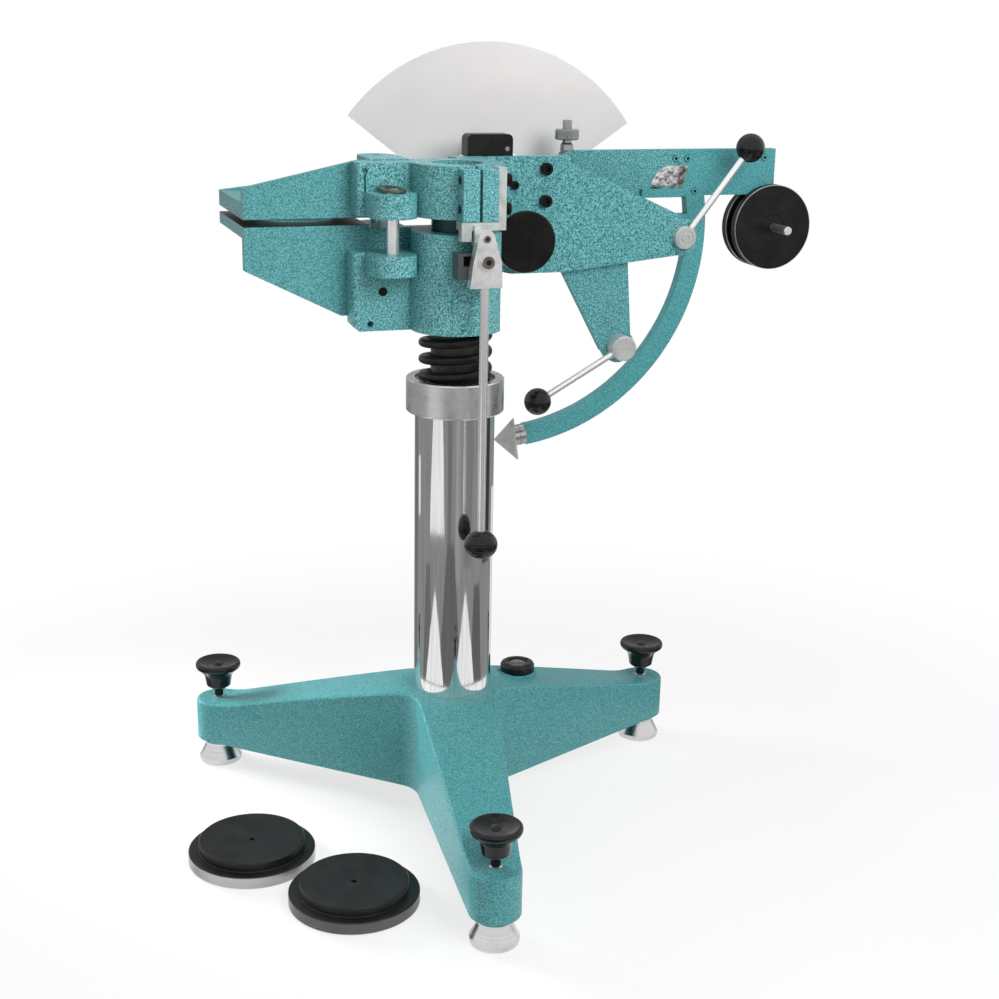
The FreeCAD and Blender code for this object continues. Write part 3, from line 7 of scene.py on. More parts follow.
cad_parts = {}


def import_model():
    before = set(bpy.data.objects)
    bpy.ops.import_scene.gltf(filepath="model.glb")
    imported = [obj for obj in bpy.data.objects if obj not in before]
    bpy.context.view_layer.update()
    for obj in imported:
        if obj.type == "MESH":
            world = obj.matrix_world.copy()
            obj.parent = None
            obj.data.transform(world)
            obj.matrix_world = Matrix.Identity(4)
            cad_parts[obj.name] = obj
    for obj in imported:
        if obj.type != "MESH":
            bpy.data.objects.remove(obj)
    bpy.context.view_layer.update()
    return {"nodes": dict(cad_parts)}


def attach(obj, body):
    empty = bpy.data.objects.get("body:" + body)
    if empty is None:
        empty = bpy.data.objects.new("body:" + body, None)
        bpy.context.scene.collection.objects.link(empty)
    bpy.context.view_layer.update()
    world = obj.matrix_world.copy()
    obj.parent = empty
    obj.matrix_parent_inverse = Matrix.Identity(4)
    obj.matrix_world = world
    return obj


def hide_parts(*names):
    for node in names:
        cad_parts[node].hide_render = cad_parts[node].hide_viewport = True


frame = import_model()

# Finish of a puncture resistance tester: teal hammertone castings, a chromed column,
# turned and ground steel fittings, black moulded knobs and blackened weights.
# The scene is in metres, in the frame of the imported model. Sizes of pieces are in
# millimetres, measured from the column's foot, with the beam towards +X.

MM = 0.001
COLUMN_FOOT = Vector((-0.0941, 0.064926, 0.0))

# Camera, at the photograph's viewing angle
CAMERA_PLACE = Vector((-0.7169, -1.9101, 1.0554))
CAMERA_AZIMUTH = math.radians(70.828)
CAMERA_PITCH = math.radians(16.539)
CAMERA_ROLL = math.radians(1.051)
CAMERA_LENS = 58.84
SENSOR_WIDTH = 36.0

# Paint, as (red, green, blue) values of a screen colour from 0 to 255
TEAL_LIGHT = (150, 214, 217)
TEAL_MIDDLE = (74, 156, 160)
TEAL_DARK = (30, 100, 105)

# Tripod base. Its top runs in under the column by COLUMN_BITE, and the column's socket and the
# screws' bosses stop below the top by HIDDEN_DROP.
LEG_LENGTH = 364.0
LEG_DIRECTIONS = {"front": -99.1, "right": 20.9, "left": 140.9}
LEG_TIP_R = 31.96
LEG_ROOT_HALF_WIDTH = 56.0
FORK_R = 46.0
FORK_HALF_ANGLE = math.radians(60)
LEG_UNDERSIDE_Z = 38.0
LEG_TIP_Z = 98.0
LEG_TIP_FLAT = 14.0
HUB_Z = 176.0
HUB_FLAT_R = 66.0
CROWN_BLEND = 16.0
EDGE_ROUND = 4.5
LOWER_EDGE = 1.0
CAST_WALL = 9.0
TUBE_R = 52.0
COLUMN_BITE = 2.0
SOCKET_WALL = 11.0
HIDDEN_DROP = 4.0
SCREW_R = 8.0
SCREW_GAP = 0.1
BOSS_R = 24.0
BOSS_BOTTOM_Z = 31.3

# Spirit level on its pad, round which the casting's top drops below the pad's face. The rim,
# ribs, vial, dome and mark are profiles of (radius, height above the housing).
LEVEL_AT = (111.5, 47.1)
LEVEL_PAD_R = 27.0
LEVEL_PAD_Z = 165.5
LEVEL_PAD_FOOT_Z = 130.0
LEVEL_PAD_EDGE = 0.6
LEVEL_SEAT_MARGIN = 0.5
LEVEL_SEAT_DROP = 0.3
LEVEL_TOP_Z = 176.5
LEVEL_RIM = ((13.2, 0), (13.2, 1.0), (14.2, 1.6), (20.5, 1.6), (22.2, 0.7), (22.2, 0))
LEVEL_RIB = ((0, 1.2), (1.8, 1.2), (1.8, 2.3), (1.2, 2.6), (0, 2.6))
LEVEL_RIBS = 4
LEVEL_RIB_REACH = 17.4
LEVEL_FIRST_RIB = math.radians(22)
LEVEL_VIAL = ((0, -4), (13, -4), (13, -0.4))
LEVEL_DOME = ((13, -0.4), (9, 1.1), (4.5, 1.8), (0, 2.0))
LEVEL_MARK = ((4.2, 1.6), (4.6, 2.05), (5.0, 1.6))

# Levelling feet and screws, as (radius, height) profiles
FOOT = ((0, 0), (27, 0), (29.4, 1.2), (30.3, 3.4), (30.3, 8.6), (29.2, 10), (21, 27), (21, 31),
        (6.05, 31), (6.05, 9.7), (0, 9.7))
KNOB_SPINDLE = ((0, 10), (6, 10), (6, 31.3), (SCREW_R, 31.3), (SCREW_R, 100), (6.3, 101), (6.3, 109),
                (16.4, 116.6), (17.2, 117.4), (18.8, 128))
KNOB_STEEL_BANDS = 5
KNOB_FLARE = ((18.8, 128), (20.6, 134), (25.5, 140), (30.8, 144.2))
KNOB_RIM = ((30.8, 144.2), (31.9, 147.4), (31.3, 151.0), (28.5, 152.6), (20.0, 150.6), (7.5, 149.0))
KNOB_BUTTON = ((7.5, 149.0), (6.0, 150.6), (2.5, 151.0), (0, 149.8))

# Clamp lever's knob
LEVER_KNOB_AT = (8.0, -91.2, 405.0)
LEVER_KNOB_R = 21.5
LEVER_KNOB_HALF_H = 19.0
LEVER_KNOB_GROOVE = (3.0, 4.5)
LEVER_KNOB_GROOVE_DEPTH = 0.8

# Lever head's socket screw and the pin above it, as (place, recess radius, rim radius)
LEVER_CAPS = (((8.0, -105.7, 767.5), 3.4, 7.7), ((8.0, -99.7, 795.0), 1.9, 4.4))
CAP_RECESS = -0.2
CAP_FACE = -0.9
CAP_FOOT = 0.6

# Guide pin's ring clip, which lies tilted on the lug
CLIP_AT = (-87.0, -14.0, 847.4)
CLIP_TILT = math.radians(9)
CLIP = ((9.6, -1.5), (16.6, -1.6), (17.2, 0), (16.6, 1.6), (9.6, 1.5))

# Trim nut
TRIM_AT = (195.0, 127.0, 895.0)
TRIM_NUT = ((6.5, 0), (14.6, 0), (15.6, 1.2), (15.6, 12.8), (14.6, 14), (6.5, 14))
TRIM_RIDGES = 48
TRIM_RIDGE_DEPTH = 0.35

# Catch insert on the beam: its left side as (share of its height, x), the right side's x at the
# bottom and top, its front and back, the size of its folds, and how far they rise off its edge
INSERT_Z = (828.5, 859.0)
INSERT_LEFT = ((0.0, 316.6), (0.33, 319.6), (0.7, 326.1), (0.98, 337.7), (1.0, 340.0))
INSERT_RIGHT = (365.3, 374.0)
INSERT_Y = (116.0, 119.0)
INSERT_FOLD = 9.0
INSERT_EDGE = 0.5
INSERT_RISE = (0.1, 2.4)

# Small screws and the dial block's pin, as (x, z) or full places, and as (radius, depth) profiles
BEAM_SCREWS = ((197.0, 869.0), (354.0, 869.0), (372.0, 869.0), (491.0, 869.0), (385.0, 824.0))
BEAM_FACE_Y = 119.0
BEAM_SCREW = ((0, -0.5), (2.1, -0.5), (2.1, -1.6), (3.9, -1.6), (4.5, -1.1), (4.5, -0.25), (5.1, -0.25),
              (5.1, 0), (0, 0))
PLATE_SCREW_AT = (101.5, 72.0, 841.3)
PLATE_SCREW = ((0, -2.0), (2.9, -2.0), (2.9, -5.0), (4.9, -5.0), (5.6, -4.3), (5.6, 0), (0, 0))
BLOCK_PIN_AT = (97.1, 90.0, 886.5)
BLOCK_PIN = ((0, -0.3), (1.1, -0.3), (1.5, -0.9), (2.7, -0.9), (3.0, -0.6), (3.0, 1.0), (0, 1.0))

# Handle hubs, and their raised rings as (inner radius, outer radius, rise)
RELEASE_HUB_AT = (348.0, 60.0, 767.3)
RELEASE_RINGS = ((4.2, 6.4, 0.9), (10.4, 12.4, 0.7))
LOCK_HUB_AT = (263.4, 60.0, 617.5)
LOCK_RINGS = ((1.6, 4.0, 0.6), (13.6, 15.2, 0.5))
RING_EDGE = 0.2

# Disc weights on the beam, with a shallow dish round the bore of the near face
WEIGHT_AT = (504.0, 772.6)
WEIGHT_Y = {"near": (106.0, 119.0), "far": (135.0, 148.0)}
WEIGHT_R = 59.5
WEIGHT_EDGE = 1.1
WEIGHT_BORE = 6.05
WEIGHT_DISH_R = (17.0, 18.5)
WEIGHT_DISH = 0.8

# Dial's far face: graduations, as (every so many, length, half width), and numbers
PIVOT_AT = (104.0, 772.6)
DIAL_BACK_Y = 191.0
DIAL_INK_Y = (DIAL_BACK_Y - 0.1, DIAL_BACK_Y + 0.15)
DIAL_TICKS_DEG = (40.0, 136.0)
DIAL_DIVISIONS = 48
DIAL_TICKS = ((8, 20, 0.7), (4, 14, 0.7), (1, 8, 0.45))
DIAL_TICK_R = 236.0
DIAL_TEXT_R = 205.0
DIAL_TEXT_SIZE = 13.0
DIAL_TEXT_EVERY = 8

# Spare weights on the floor: their places and their (radius, height) profile
SPARES = {"left": (-294.0, -78.0), "right": (-193.5, -220.5)}
SPARE = ((0, 0), (80.0, 0), (81.3, 1.3), (81.3, 14.8), (80.2, 16), (68.6, 16.2), (68, 17), (68, 27.6),
         (66.8, 28.8), (60, 28.4), (30, 27.4), (4.2, 27.0), (3.4, 26.4), (3.4, 12), (0, 12))


def linear(rgb):
    """A screen colour as the linear value that a shader wants."""
    values = []
    for channel in rgb:
        c = channel / 255
        values.append(c / 12.92 if c <= 0.04045 else ((c + 0.055) / 1.055) ** 2.4)
    return (*values, 1.0)


def grey(value):
    return linear((value, value, value))


def at(x, y, z):
    """A place given in millimetres from the column's foot, in metres in the scene."""
    return COLUMN_FOOT + Vector((x, y, z)) * MM


# Node helpers

class Finish:
    """A material with one Principled shader, and short calls for the nodes that feed it."""

    def __init__(self, name):
        self.material = bpy.data.materials.new(name)
        self.material.use_nodes = True
        self.tree = self.material.node_tree
        self.shader = self.tree.nodes["Principled BSDF"]
        self.place = self.tree.nodes.new("ShaderNodeTexCoord").outputs["Object"]

    def node(self, kind, **settings):
        made = self.tree.nodes.new(kind)
        for key, value in settings.items():
            setattr(made, key, value)
        return made

    def link(self, output, target):
        self.tree.links.new(output, target)

    def set(self, **values):
        for key, value in values.items():
            self.shader.inputs[key.replace("_", " ")].default_value = value

    def stretched(self, x, y, z):
        mapping = self.node("ShaderNodeMapping")
        mapping.inputs["Scale"].default_value = (x, y, z)
        self.link(self.place, mapping.inputs["Vector"])
        return mapping.outputs["Vector"]

    def noise(self, scale, detail=2.0, rough=0.5, vector=None):
        made = self.node("ShaderNodeTexNoise")
        made.inputs["Scale"].default_value = scale
        made.inputs["Detail"].default_value = detail
        made.inputs["Roughness"].default_value = rough
        self.link(vector or self.place, made.inputs["Vector"])
        return made.outputs["Fac"]

    def cells(self, scale, feature):
        made = self.node("ShaderNodeTexVoronoi", feature=feature)
        made.inputs["Scale"].default_value = scale
        self.link(self.place, made.inputs["Vector"])
        return made.outputs["Distance"]

    def ramp(self, fac, stops):
        made = self.node("ShaderNodeValToRGB")
        ends = made.color_ramp.elements
        for i, (where, colour) in enumerate(stops):
            stop = ends[i] if i < 2 else ends.new(where)
            stop.position = where
            stop.color = colour
        self.link(fac, made.inputs["Fac"])
        return made.outputs["Color"]

    def mix(self, fac, a, b, blend="MIX"):
        made = self.node("ShaderNodeMix", data_type="RGBA", blend_type=blend)
        for value, socket in ((fac, made.inputs[0]), (a, made.inputs[6]), (b, made.inputs[7])):
            if isinstance(value, bpy.types.NodeSocket):
                self.link(value, socket)
            else:
                socket.default_value = value
        return made.outputs[2]

    def math(self, operation, a, b=0.0, clamp=False):
        made = self.node("ShaderNodeMath", operation=operation, use_clamp=clamp)
        for value, socket in ((a, made.inputs[0]), (b, made.inputs[1])):
            if isinstance(value, bpy.types.NodeSocket):
                self.link(value, socket)
            else:
                socket.default_value = value
        return made.outputs[0]

    def spread(self, fac, low, high, new_low, new_high):
        made = self.node("ShaderNodeMapRange")
        for value, socket in zip((low, high, new_low, new_high), list(made.inputs)[1:5]):
            socket.default_value = value
        self.link(fac, made.inputs[0])
        return made.outputs[0]

    def along(self, axis):
        parts = self.node("ShaderNodeSeparateXYZ")
        self.link(self.place, parts.inputs[0])
        return parts.outputs[axis]

    def between(self, axis, low, high):
        """One between two places along an axis, and zero elsewhere."""
        value = self.along(axis)
        past_low = self.math("GREATER_THAN", value, low)
        before_high = self.math("LESS_THAN", value, high)
        return self.math("MULTIPLY", past_low, before_high)

    def reach(self, x, z):
        """Distance from an axis that runs along Y through (x, z), in metres."""
        shifted = self.node("ShaderNodeVectorMath", operation="SUBTRACT")
        self.link(self.place, shifted.inputs[0])
        shifted.inputs[1].default_value = at(x, 0, z)
        flat = self.node("ShaderNodeVectorMath", operation="MULTIPLY")
        self.link(shifted.outputs[0], flat.inputs[0])
        flat.inputs[1].default_value = (1, 0, 1)
        length = self.node("ShaderNodeVectorMath", operation="LENGTH")
        self.link(flat.outputs[0], length.inputs[0])
        return length.outputs["Value"]

    def soft_edges(self, radius):
        made = self.node("ShaderNodeBevel", samples=4)
        made.inputs["Radius"].default_value = radius
        return made.outputs["Normal"]

    def bump(self, height, strength, distance, normal=None):
        made = self.node("ShaderNodeBump")
        made.inputs["Strength"].default_value = strength
        made.inputs["Distance"].default_value = distance
        self.link(height, made.inputs["Height"])
        if normal:
            self.link(normal, made.inputs["Normal"])
        return made.outputs["Normal"]

    def out(self, **sockets):
        for key, output in sockets.items():
            self.link(output, self.shader.inputs[key.replace("_", " ")])
        return self.material


# Finishes

PAINT_EDGE = 0.9 * MM


def hammertone(name, cell, contrast, shade=1.0, pale=0.0, gloss=0.36, bare_and_shade=None, bare_and_shade_colour=(44, 46, 46)):
    """Hammertone enamel: pale islands about one cell wide, with darker worm-like valleys between
    them. shade and pale make darker and lighter copies of the one paint, as painted shade and
    painted light. The dark band is given as an axis, a low and a high place, and between them the
    face is painted dark: painted shade in the jaws' gap, and unpainted steel darkened as painted
    shade on the slide's lug."""
    f = Finish(name)
    per_metre = 1 / cell
    warp = f.node("ShaderNodeTexNoise")
    warp.inputs["Scale"].default_value = per_metre * 0.6
    f.link(f.place, warp.inputs["Vector"])
    drift = f.node("ShaderNodeVectorMath", operation="SCALE")
    f.link(warp.outputs["Color"], drift.inputs[0])
    drift.inputs["Scale"].default_value = cell * 1.1
    moved = f.node("ShaderNodeVectorMath", operation="ADD")
    f.link(f.place, moved.inputs[0])
    f.link(drift.outputs[0], moved.inputs[1])
    islands = f.noise(per_metre * 0.9, 1.0, 0.45, moved.outputs[0])
    grain = f.noise(per_metre * 3.2, 1.0, 0.5)
    surface = f.math("ADD", f.math("MULTIPLY", islands, 0.86), f.math("MULTIPLY", grain, 0.14))

    # shade and pale make darker and lighter copies of the one paint, as painted shade and painted light.
    def tone(colour):
        shown = [m + (c - m) * contrast for m, c in zip(TEAL_MIDDLE, colour)]
        return linear([(c + (255 - c) * pale) * shade for c in shown])

    stops = [(0.38, tone(TEAL_DARK)), (0.64, tone(TEAL_LIGHT)), (0.47, tone(TEAL_MIDDLE))]
    paint = f.ramp(surface, stops)
    cloud = f.noise(9.0, 3.0, 0.6)
    paint = f.mix(f.spread(cloud, 0.3, 0.7, 0.0, 0.12), paint, tone((66, 144, 148)))
    # The dark band between the given places is painted shade, over unpainted steel on the slide's lug.
    if bare_and_shade:
        paint = f.mix(f.between(*bare_and_shade), paint, linear(bare_and_shade_colour))
    f.set(Metallic=0.0, Specular_IOR_Level=0.34, Coat_Weight=0.12, Coat_Roughness=0.16, IOR=1.5)
    relief = f.bump(surface, 0.45, cell * 0.14, f.soft_edges(PAINT_EDGE))
    rough = f.spread(surface, 0.35, 0.7, gloss + 0.12, gloss - 0.04)
    return f.out(Base_Color=paint, Roughness=rough, Normal=relief)


def chrome():
    """Bright chrome on a drawn tube, with faint lengthwise waves and a few small marks."""
    f = Finish("chrome_tube")
    streaks = f.noise(1.0, 2.0, 0.55, f.stretched(55, 55, 1.6))
    fine = f.noise(1.0, 1.0, 0.5, f.stretched(300, 300, 9))
    marks = f.ramp(f.cells(46.0, "F1"), [(0.0, grey(70)), (0.045, grey(228))])
    colour = f.mix(f.spread(fine, 0.4, 0.75, 0.0, 0.35), grey(248), grey(196))
    colour = f.mix(0.4, colour, marks, "MULTIPLY")
    height = f.math("ADD", f.math("MULTIPLY", streaks, 0.9), f.math("MULTIPLY", fine, 0.1))
    f.set(Metallic=1.0)
    return f.out(Base_Color=colour, Roughness=f.spread(fine, 0.3, 0.8, 0.035, 0.09),
                 Normal=f.bump(height, 0.42, 0.45 * MM))


def turned_steel(name, light, rough, ring=0.35 * MM, axis="Z"):
    """Lathe-turned steel: fine rings across the axis, with slightly uneven reflections."""
    f = Finish(name)
    stretch = {"Z": (4, 4, 1 / ring), "Y": (4, 1 / ring, 4)}[axis]
    rings = f.noise(1.0, 2.0, 0.6, f.stretched(*stretch))
    blotch = f.noise(60.0, 3.0, 0.6)
    colour = f.mix(f.spread(rings, 0.3, 0.7, 0.0, 1.0), grey(light - 26), grey(light))
    colour = f.mix(f.spread(blotch, 0.5, 0.8, 0.0, 0.25), colour, grey(light - 60))
    f.set(Metallic=1.0)
    return f.out(Base_Color=colour, Roughness=f.spread(blotch, 0.2, 0.8, rough - 0.05, rough + 0.1),
                 Normal=f.bump(rings, 0.25, 0.05 * MM, f.soft_edges(0.4 * MM)))


def faced_steel(name, light, rough, x, z):
    """Steel faced on a lathe: rings round a hub's axis, with a turned sheen."""
    f = Finish(name)
    reach = f.reach(x, z)
    wave = f.math("SINE", f.math("MULTIPLY", reach, 2 * math.pi / (0.9 * MM)))
    blotch = f.noise(90.0, 3.0, 0.6)
    colour = f.mix(f.spread(wave, -1.0, 1.0, 0.0, 1.0), grey(light - 34), grey(light))
    colour = f.mix(f.spread(blotch, 0.5, 0.8, 0.0, 0.4), colour, grey(light - 70))
    f.set(Metallic=0.55)
    return f.out(Base_Color=colour, Roughness=f.spread(blotch, 0.2, 0.8, rough - 0.05, rough + 0.1),
                 Normal=f.bump(wave, 0.35, 0.08 * MM, f.soft_edges(0.5 * MM)))


def ground_steel(name, light, rough, tint=(1.0, 1.0, 1.0)):
    """Flat ground or milled steel with crossing scratches."""
    f = Finish(name)
    scratches = f.noise(1.0, 3.0, 0.7, f.stretched(2600, 2600, 130))
    cloud = f.noise(70.0, 4.0, 0.6)
    bright = linear([light * t for t in tint])
    dull = linear([(light - 45) * t for t in tint])
    colour = f.mix(f.spread(cloud, 0.35, 0.75, 0.0, 0.8), bright, dull)
    f.set(Metallic=0.7)
    height = f.math("ADD", f.math("MULTIPLY", scratches, 0.3), f.math("MULTIPLY", cloud, 0.7))
    return f.out(Base_Color=colour, Roughness=f.spread(cloud, 0.2, 0.8, rough - 0.06, rough + 0.12),
                 Normal=f.bump(height, 0.25, 0.15 * MM, f.soft_edges(0.7 * MM)))


def bright_rod():
    """Polished bar with faint lengthwise draw lines."""
    f = Finish("bright_rod")
    lines = f.noise(1.0, 2.0, 0.5, f.stretched(900, 900, 8))
    f.set(Metallic=0.8)
    return f.out(Base_Color=f.mix(lines, grey(252), grey(232)),
                 Roughness=f.spread(lines, 0.3, 0.7, 0.14, 0.24),
                 Normal=f.bump(lines, 0.12, 0.05 * MM))


def black_oxide(name, level, rough):
    """Blackened, oiled steel: nearly black, brownish where it has rubbed."""
    f = Finish(name)
    wear = f.noise(38.0, 4.0, 0.62)
    grain = f.noise(900.0, 2.0, 0.5)
    worn = linear((level + 20, level + 18, level + 16))
    colour = f.mix(f.spread(wear, 0.45, 0.75, 0.0, 0.8), grey(level), worn)
    f.set(Metallic=0.75)
    return f.out(Base_Color=colour, Roughness=f.spread(wear, 0.3, 0.8, rough - 0.06, rough + 0.14),
                 Normal=f.bump(grain, 0.12, 0.05 * MM, f.soft_edges(0.5 * MM)))


def shaft_steel():
    """The inner shaft: dark oiled steel, and teal paint made very dark as painted shade where it stands in
    the upper casting.
    """
    f = Finish("shaft_steel")
    wear = f.noise(30.0, 4.0, 0.62)
    lines = f.noise(1.0, 2.0, 0.5, f.stretched(500, 500, 6))
    metal = f.mix(f.spread(wear, 0.4, 0.75, 0.0, 1.0), linear((50, 48, 45)), linear((76, 72, 66)))
    # Very dark teal: the shaft's paint with painted shade from the castings round it.
    paint = f.mix(wear, linear((8, 52, 56)), linear((14, 70, 74)))
    upper = f.between("Z", 0.78, 1.0)
    f.set(Metallic=0.35)
    return f.out(Base_Color=f.mix(upper, metal, paint), Roughness=f.spread(wear, 0.3, 0.8, 0.26, 0.42),
                 Normal=f.bump(lines, 0.15, 0.05 * MM))


def bakelite():
    """Moulded black phenolic: a glossy skin with the faintest flow marks."""
    f = Finish("bakelite")
    flow = f.noise(26.0, 3.0, 0.6)
    dust = f.noise(700.0, 2.0, 0.6)
    f.set(Specular_IOR_Level=0.3, Coat_Weight=0.1, Coat_Roughness=0.06)
    return f.out(Base_Color=f.mix(flow, grey(10), grey(24)),
                 Roughness=f.spread(dust, 0.35, 0.75, 0.13, 0.24),
                 Normal=f.bump(flow, 0.1, 0.6 * MM))


def weight_black(name, level=34, bright_rim=None, rim_level=176):
    """Blackened turned iron. A spare weight's lower rim is rubbed bright below a given height."""
    f = Finish(name)
    sweep = f.noise(1.0, 3.0, 0.6, f.stretched(12, 12, 600))
    cloud = f.noise(34.0, 4.0, 0.6)
    colour = f.mix(f.spread(cloud, 0.35, 0.8, 0.0, 1.0), grey(level), grey(level + 18))
    colour = f.mix(f.spread(sweep, 0.5, 0.8, 0.0, 0.35), colour, grey(level + 34))
    rough = f.spread(cloud, 0.3, 0.8, 0.34, 0.5)
    if bright_rim is not None:
        band = f.spread(f.along("Z"), bright_rim - 1.0 * MM, bright_rim, 1.0, 0.0)
        patch = f.math("MULTIPLY", band, f.spread(f.noise(11.0, 2.0, 0.5), 0.3, 0.6, 0.35, 1.0), True)
        colour = f.mix(patch, colour, grey(rim_level))
        rough = f.math("MULTIPLY", rough, f.spread(patch, 0.0, 1.0, 1.0, 0.75))
    f.set(Metallic=0.6)
    return f.out(Base_Color=colour, Roughness=rough,
                 Normal=f.bump(sweep, 0.12, 0.06 * MM, f.soft_edges(0.5 * MM)))


def pale_sheet():
    """The dial's pale satin sheet, a little smudged."""
    f = Finish("dial_white")
    smudge = f.noise(7.0, 4.0, 0.6)
    fine = f.noise(240.0, 2.0, 0.6)
    f.set(Specular_IOR_Level=0.4, Coat_Weight=0.1, Coat_Roughness=0.3)
    clean, smudged = linear((235, 231, 230)), linear((225, 221, 220))
    return f.out(Base_Color=f.mix(f.spread(smudge, 0.35, 0.7, 0.0, 1.0), clean, smudged),
                 Roughness=f.spread(fine, 0.3, 0.7, 0.38, 0.46),
                 Normal=f.bump(fine, 0.05, 0.05 * MM))


def dial_ink():
    f = Finish("dial_ink")
    worn = f.noise(160.0, 2.0, 0.6)
    return f.out(Base_Color=f.mix(worn, grey(26), grey(46)), Roughness=f.spread(worn, 0.3, 0.7, 0.4, 0.55))


def vial_glass():
    f = Finish("level_glass")
    haze = f.noise(120.0, 2.0, 0.5)
    f.set(Specular_IOR_Level=0.7, Coat_Weight=1.0, Coat_Roughness=0.02, IOR=1.48)
    return f.out(Base_Color=f.mix(haze, linear((30, 34, 32)), linear((52, 58, 52))),
                 Roughness=f.spread(haze, 0.3, 0.7, 0.05, 0.1))


def crumpled_steel():
    """The catch insert: bright steel with a hand-scraped, mottled face."""
    f = Finish("crumpled_steel")
    folds = f.noise(85.0, 4.0, 0.62)
    cuts = f.cells(130.0, "DISTANCE_TO_EDGE")
    colour = f.ramp(folds, [(0.36, grey(92)), (0.62, grey(226)), (0.47, grey(160)), (0.54, grey(198))])
    f.set(Metallic=0.9)
    height = f.math("ADD", f.math("MULTIPLY", folds, 0.8), f.math("MULTIPLY", cuts, 0.2))
    return f.out(Base_Color=colour, Roughness=f.spread(folds, 0.3, 0.7, 0.38, 0.2),
                 Normal=f.bump(height, 0.6, 1.2 * MM))


# Places painted dark: the gap between the jaws as painted shade, and the slide's lug as unpainted steel
# darkened by painted shade.
JAW_GAP_SHADE = ("Z", 0.7982, 0.8078)
SLOT_LUG = ("Y", -0.1, 0.0049)

FINISHES = {
    # The teal finishes are copies of one paint: the head, slide and jaws paler as painted light, the
    # plate, base and beam darker as painted shade.
    "plate": hammertone("teal_plate", 1.5 * MM, 0.9, 0.93, 0.02),
    "head": hammertone("teal_head", 1.6 * MM, 0.92, 0.98, 0.07),
    # The slide's lug is unpainted steel, painted dark grey as painted shade beside the lever head.
    "slide": hammertone("teal_slide", 1.7 * MM, 0.96, 0.98, 0.06, bare_and_shade=SLOT_LUG, bare_and_shade_colour=(72, 74, 74)),
    # The jaws' gap is painted dark as painted shade.
    "jaw": hammertone("teal_jaw", 1.5 * MM, 0.6, 0.97, 0.05, bare_and_shade=JAW_GAP_SHADE),
    "base": hammertone("teal_base", 1.5 * MM, 0.5, 0.93),
    "beam": hammertone("teal_beam", 1.7 * MM, 0.42, 0.96, 0.0, 0.32),
    "chrome": chrome(),
    "collar": turned_steel("collar_steel", 238, 0.26),
    "stud": turned_steel("stud_steel", 240, 0.36, 0.6 * MM, "Y"),
    "nut": turned_steel("nut_steel", 168, 0.22),
    "foot": turned_steel("foot_steel", 220, 0.2),
    "hub": turned_steel("hub_steel", 196, 0.27, 0.5 * MM, "Y"),
    "release_face": faced_steel("release_steel", 218, 0.3, RELEASE_HUB_AT[0], RELEASE_HUB_AT[2]),
    "lock_face": faced_steel("lock_steel", 224, 0.3, LOCK_HUB_AT[0], LOCK_HUB_AT[2]),
    # Bright edge steel: worn edges, and on the discs' rims a painted highlight.
    "edge": ground_steel("worn_edge_and_highlight_steel", 176, 0.3),
    "ground": ground_steel("ground_steel", 240, 0.27),
    "clip": ground_steel("clip_steel", 118, 0.34, (1.0, 0.94, 0.88)),
    "bracket": ground_steel("bracket_steel", 230, 0.34, (0.97, 1.0, 0.985)),
    "point": ground_steel("point_steel", 206, 0.46),
    "rod": bright_rod(),
    "oxide": black_oxide("black_oxide", 32, 0.36),
    "screw": black_oxide("screw_black", 22, 0.4),
    "socket": black_oxide("socket_rust", 30, 0.5),
    "shaft": shaft_steel(),
    "bakelite": bakelite(),
    "weight": weight_black("weight_black", 20),
    "spare_left": weight_black("spare_left", 34, 15.2 * MM, 186),
    "spare_right": weight_black("spare_right", 36, 15.2 * MM, 96),
    "dial": pale_sheet(),
    "ink": dial_ink(),
    "glass": vial_glass(),
    "crumpled": crumpled_steel(),
}

NODE_FINISH = {
    "plate": ("side_plate", "catch_bracket", "pendulum_frame", "bearing_barrel"),
    "head": ("head_casting",),
    "slide": ("lower_casting",),
    "jaw": ("upper_jaw", "lower_jaw"),
    "base": ("tripod_base",),
    "beam": ("beam_end", "arc_arm", "stop_block", "beam_screws", "bracket_screws"),
    "chrome": ("column_tube",),
    "collar": ("column_collar",),
    "foot": ("levelling_foot_front", "levelling_foot_right", "levelling_foot_left"),
    "hub": ("ferrule", "pivot_bearings"),
    "release_face": ("release_hub",),
    "lock_face": ("lock_hub",),
    "ground": ("lever_head", "lever_pins", "pin_clip", "trim_nut", "dial_pointer"),
    "bracket": ("corner_bracket",),
    "point": ("puncture_head",),
    "rod": ("lever_rod", "release_rod", "lock_rod", "guide_pins", "pivot_shaft"),
    "stud": ("weight_stud",),
    "nut": ("trim_stud",),
    "oxide": ("lift_spring", "shaft_socket", "dial_bracket"),
    "shaft": ("inner_shaft",),
    "screw": ("side_plate_screws", "clamp_bolts", "casting_screw", "pendulum_nuts", "barrel_cap"),
    "bakelite": ("levelling_screw_front", "levelling_screw_right", "levelling_screw_left", "lever_knob",
                 "release_ball", "lock_ball", "level_housing"),
    "weight": ("weight_near", "weight_far"),
    "spare_left": ("spare_weight_left",),
    "spare_right": ("spare_weight_right",),
    "dial": ("dial_plate",),
    "glass": ("level_glass",),
    "crumpled": ("striker_plate",),
}


def dress_nodes():
    for key, names in NODE_FINISH.items():
        for name in names:
            mesh = frame["nodes"][name].data
            mesh.materials.clear()
            mesh.materials.append(FINISHES[key])


# Mesh helpers

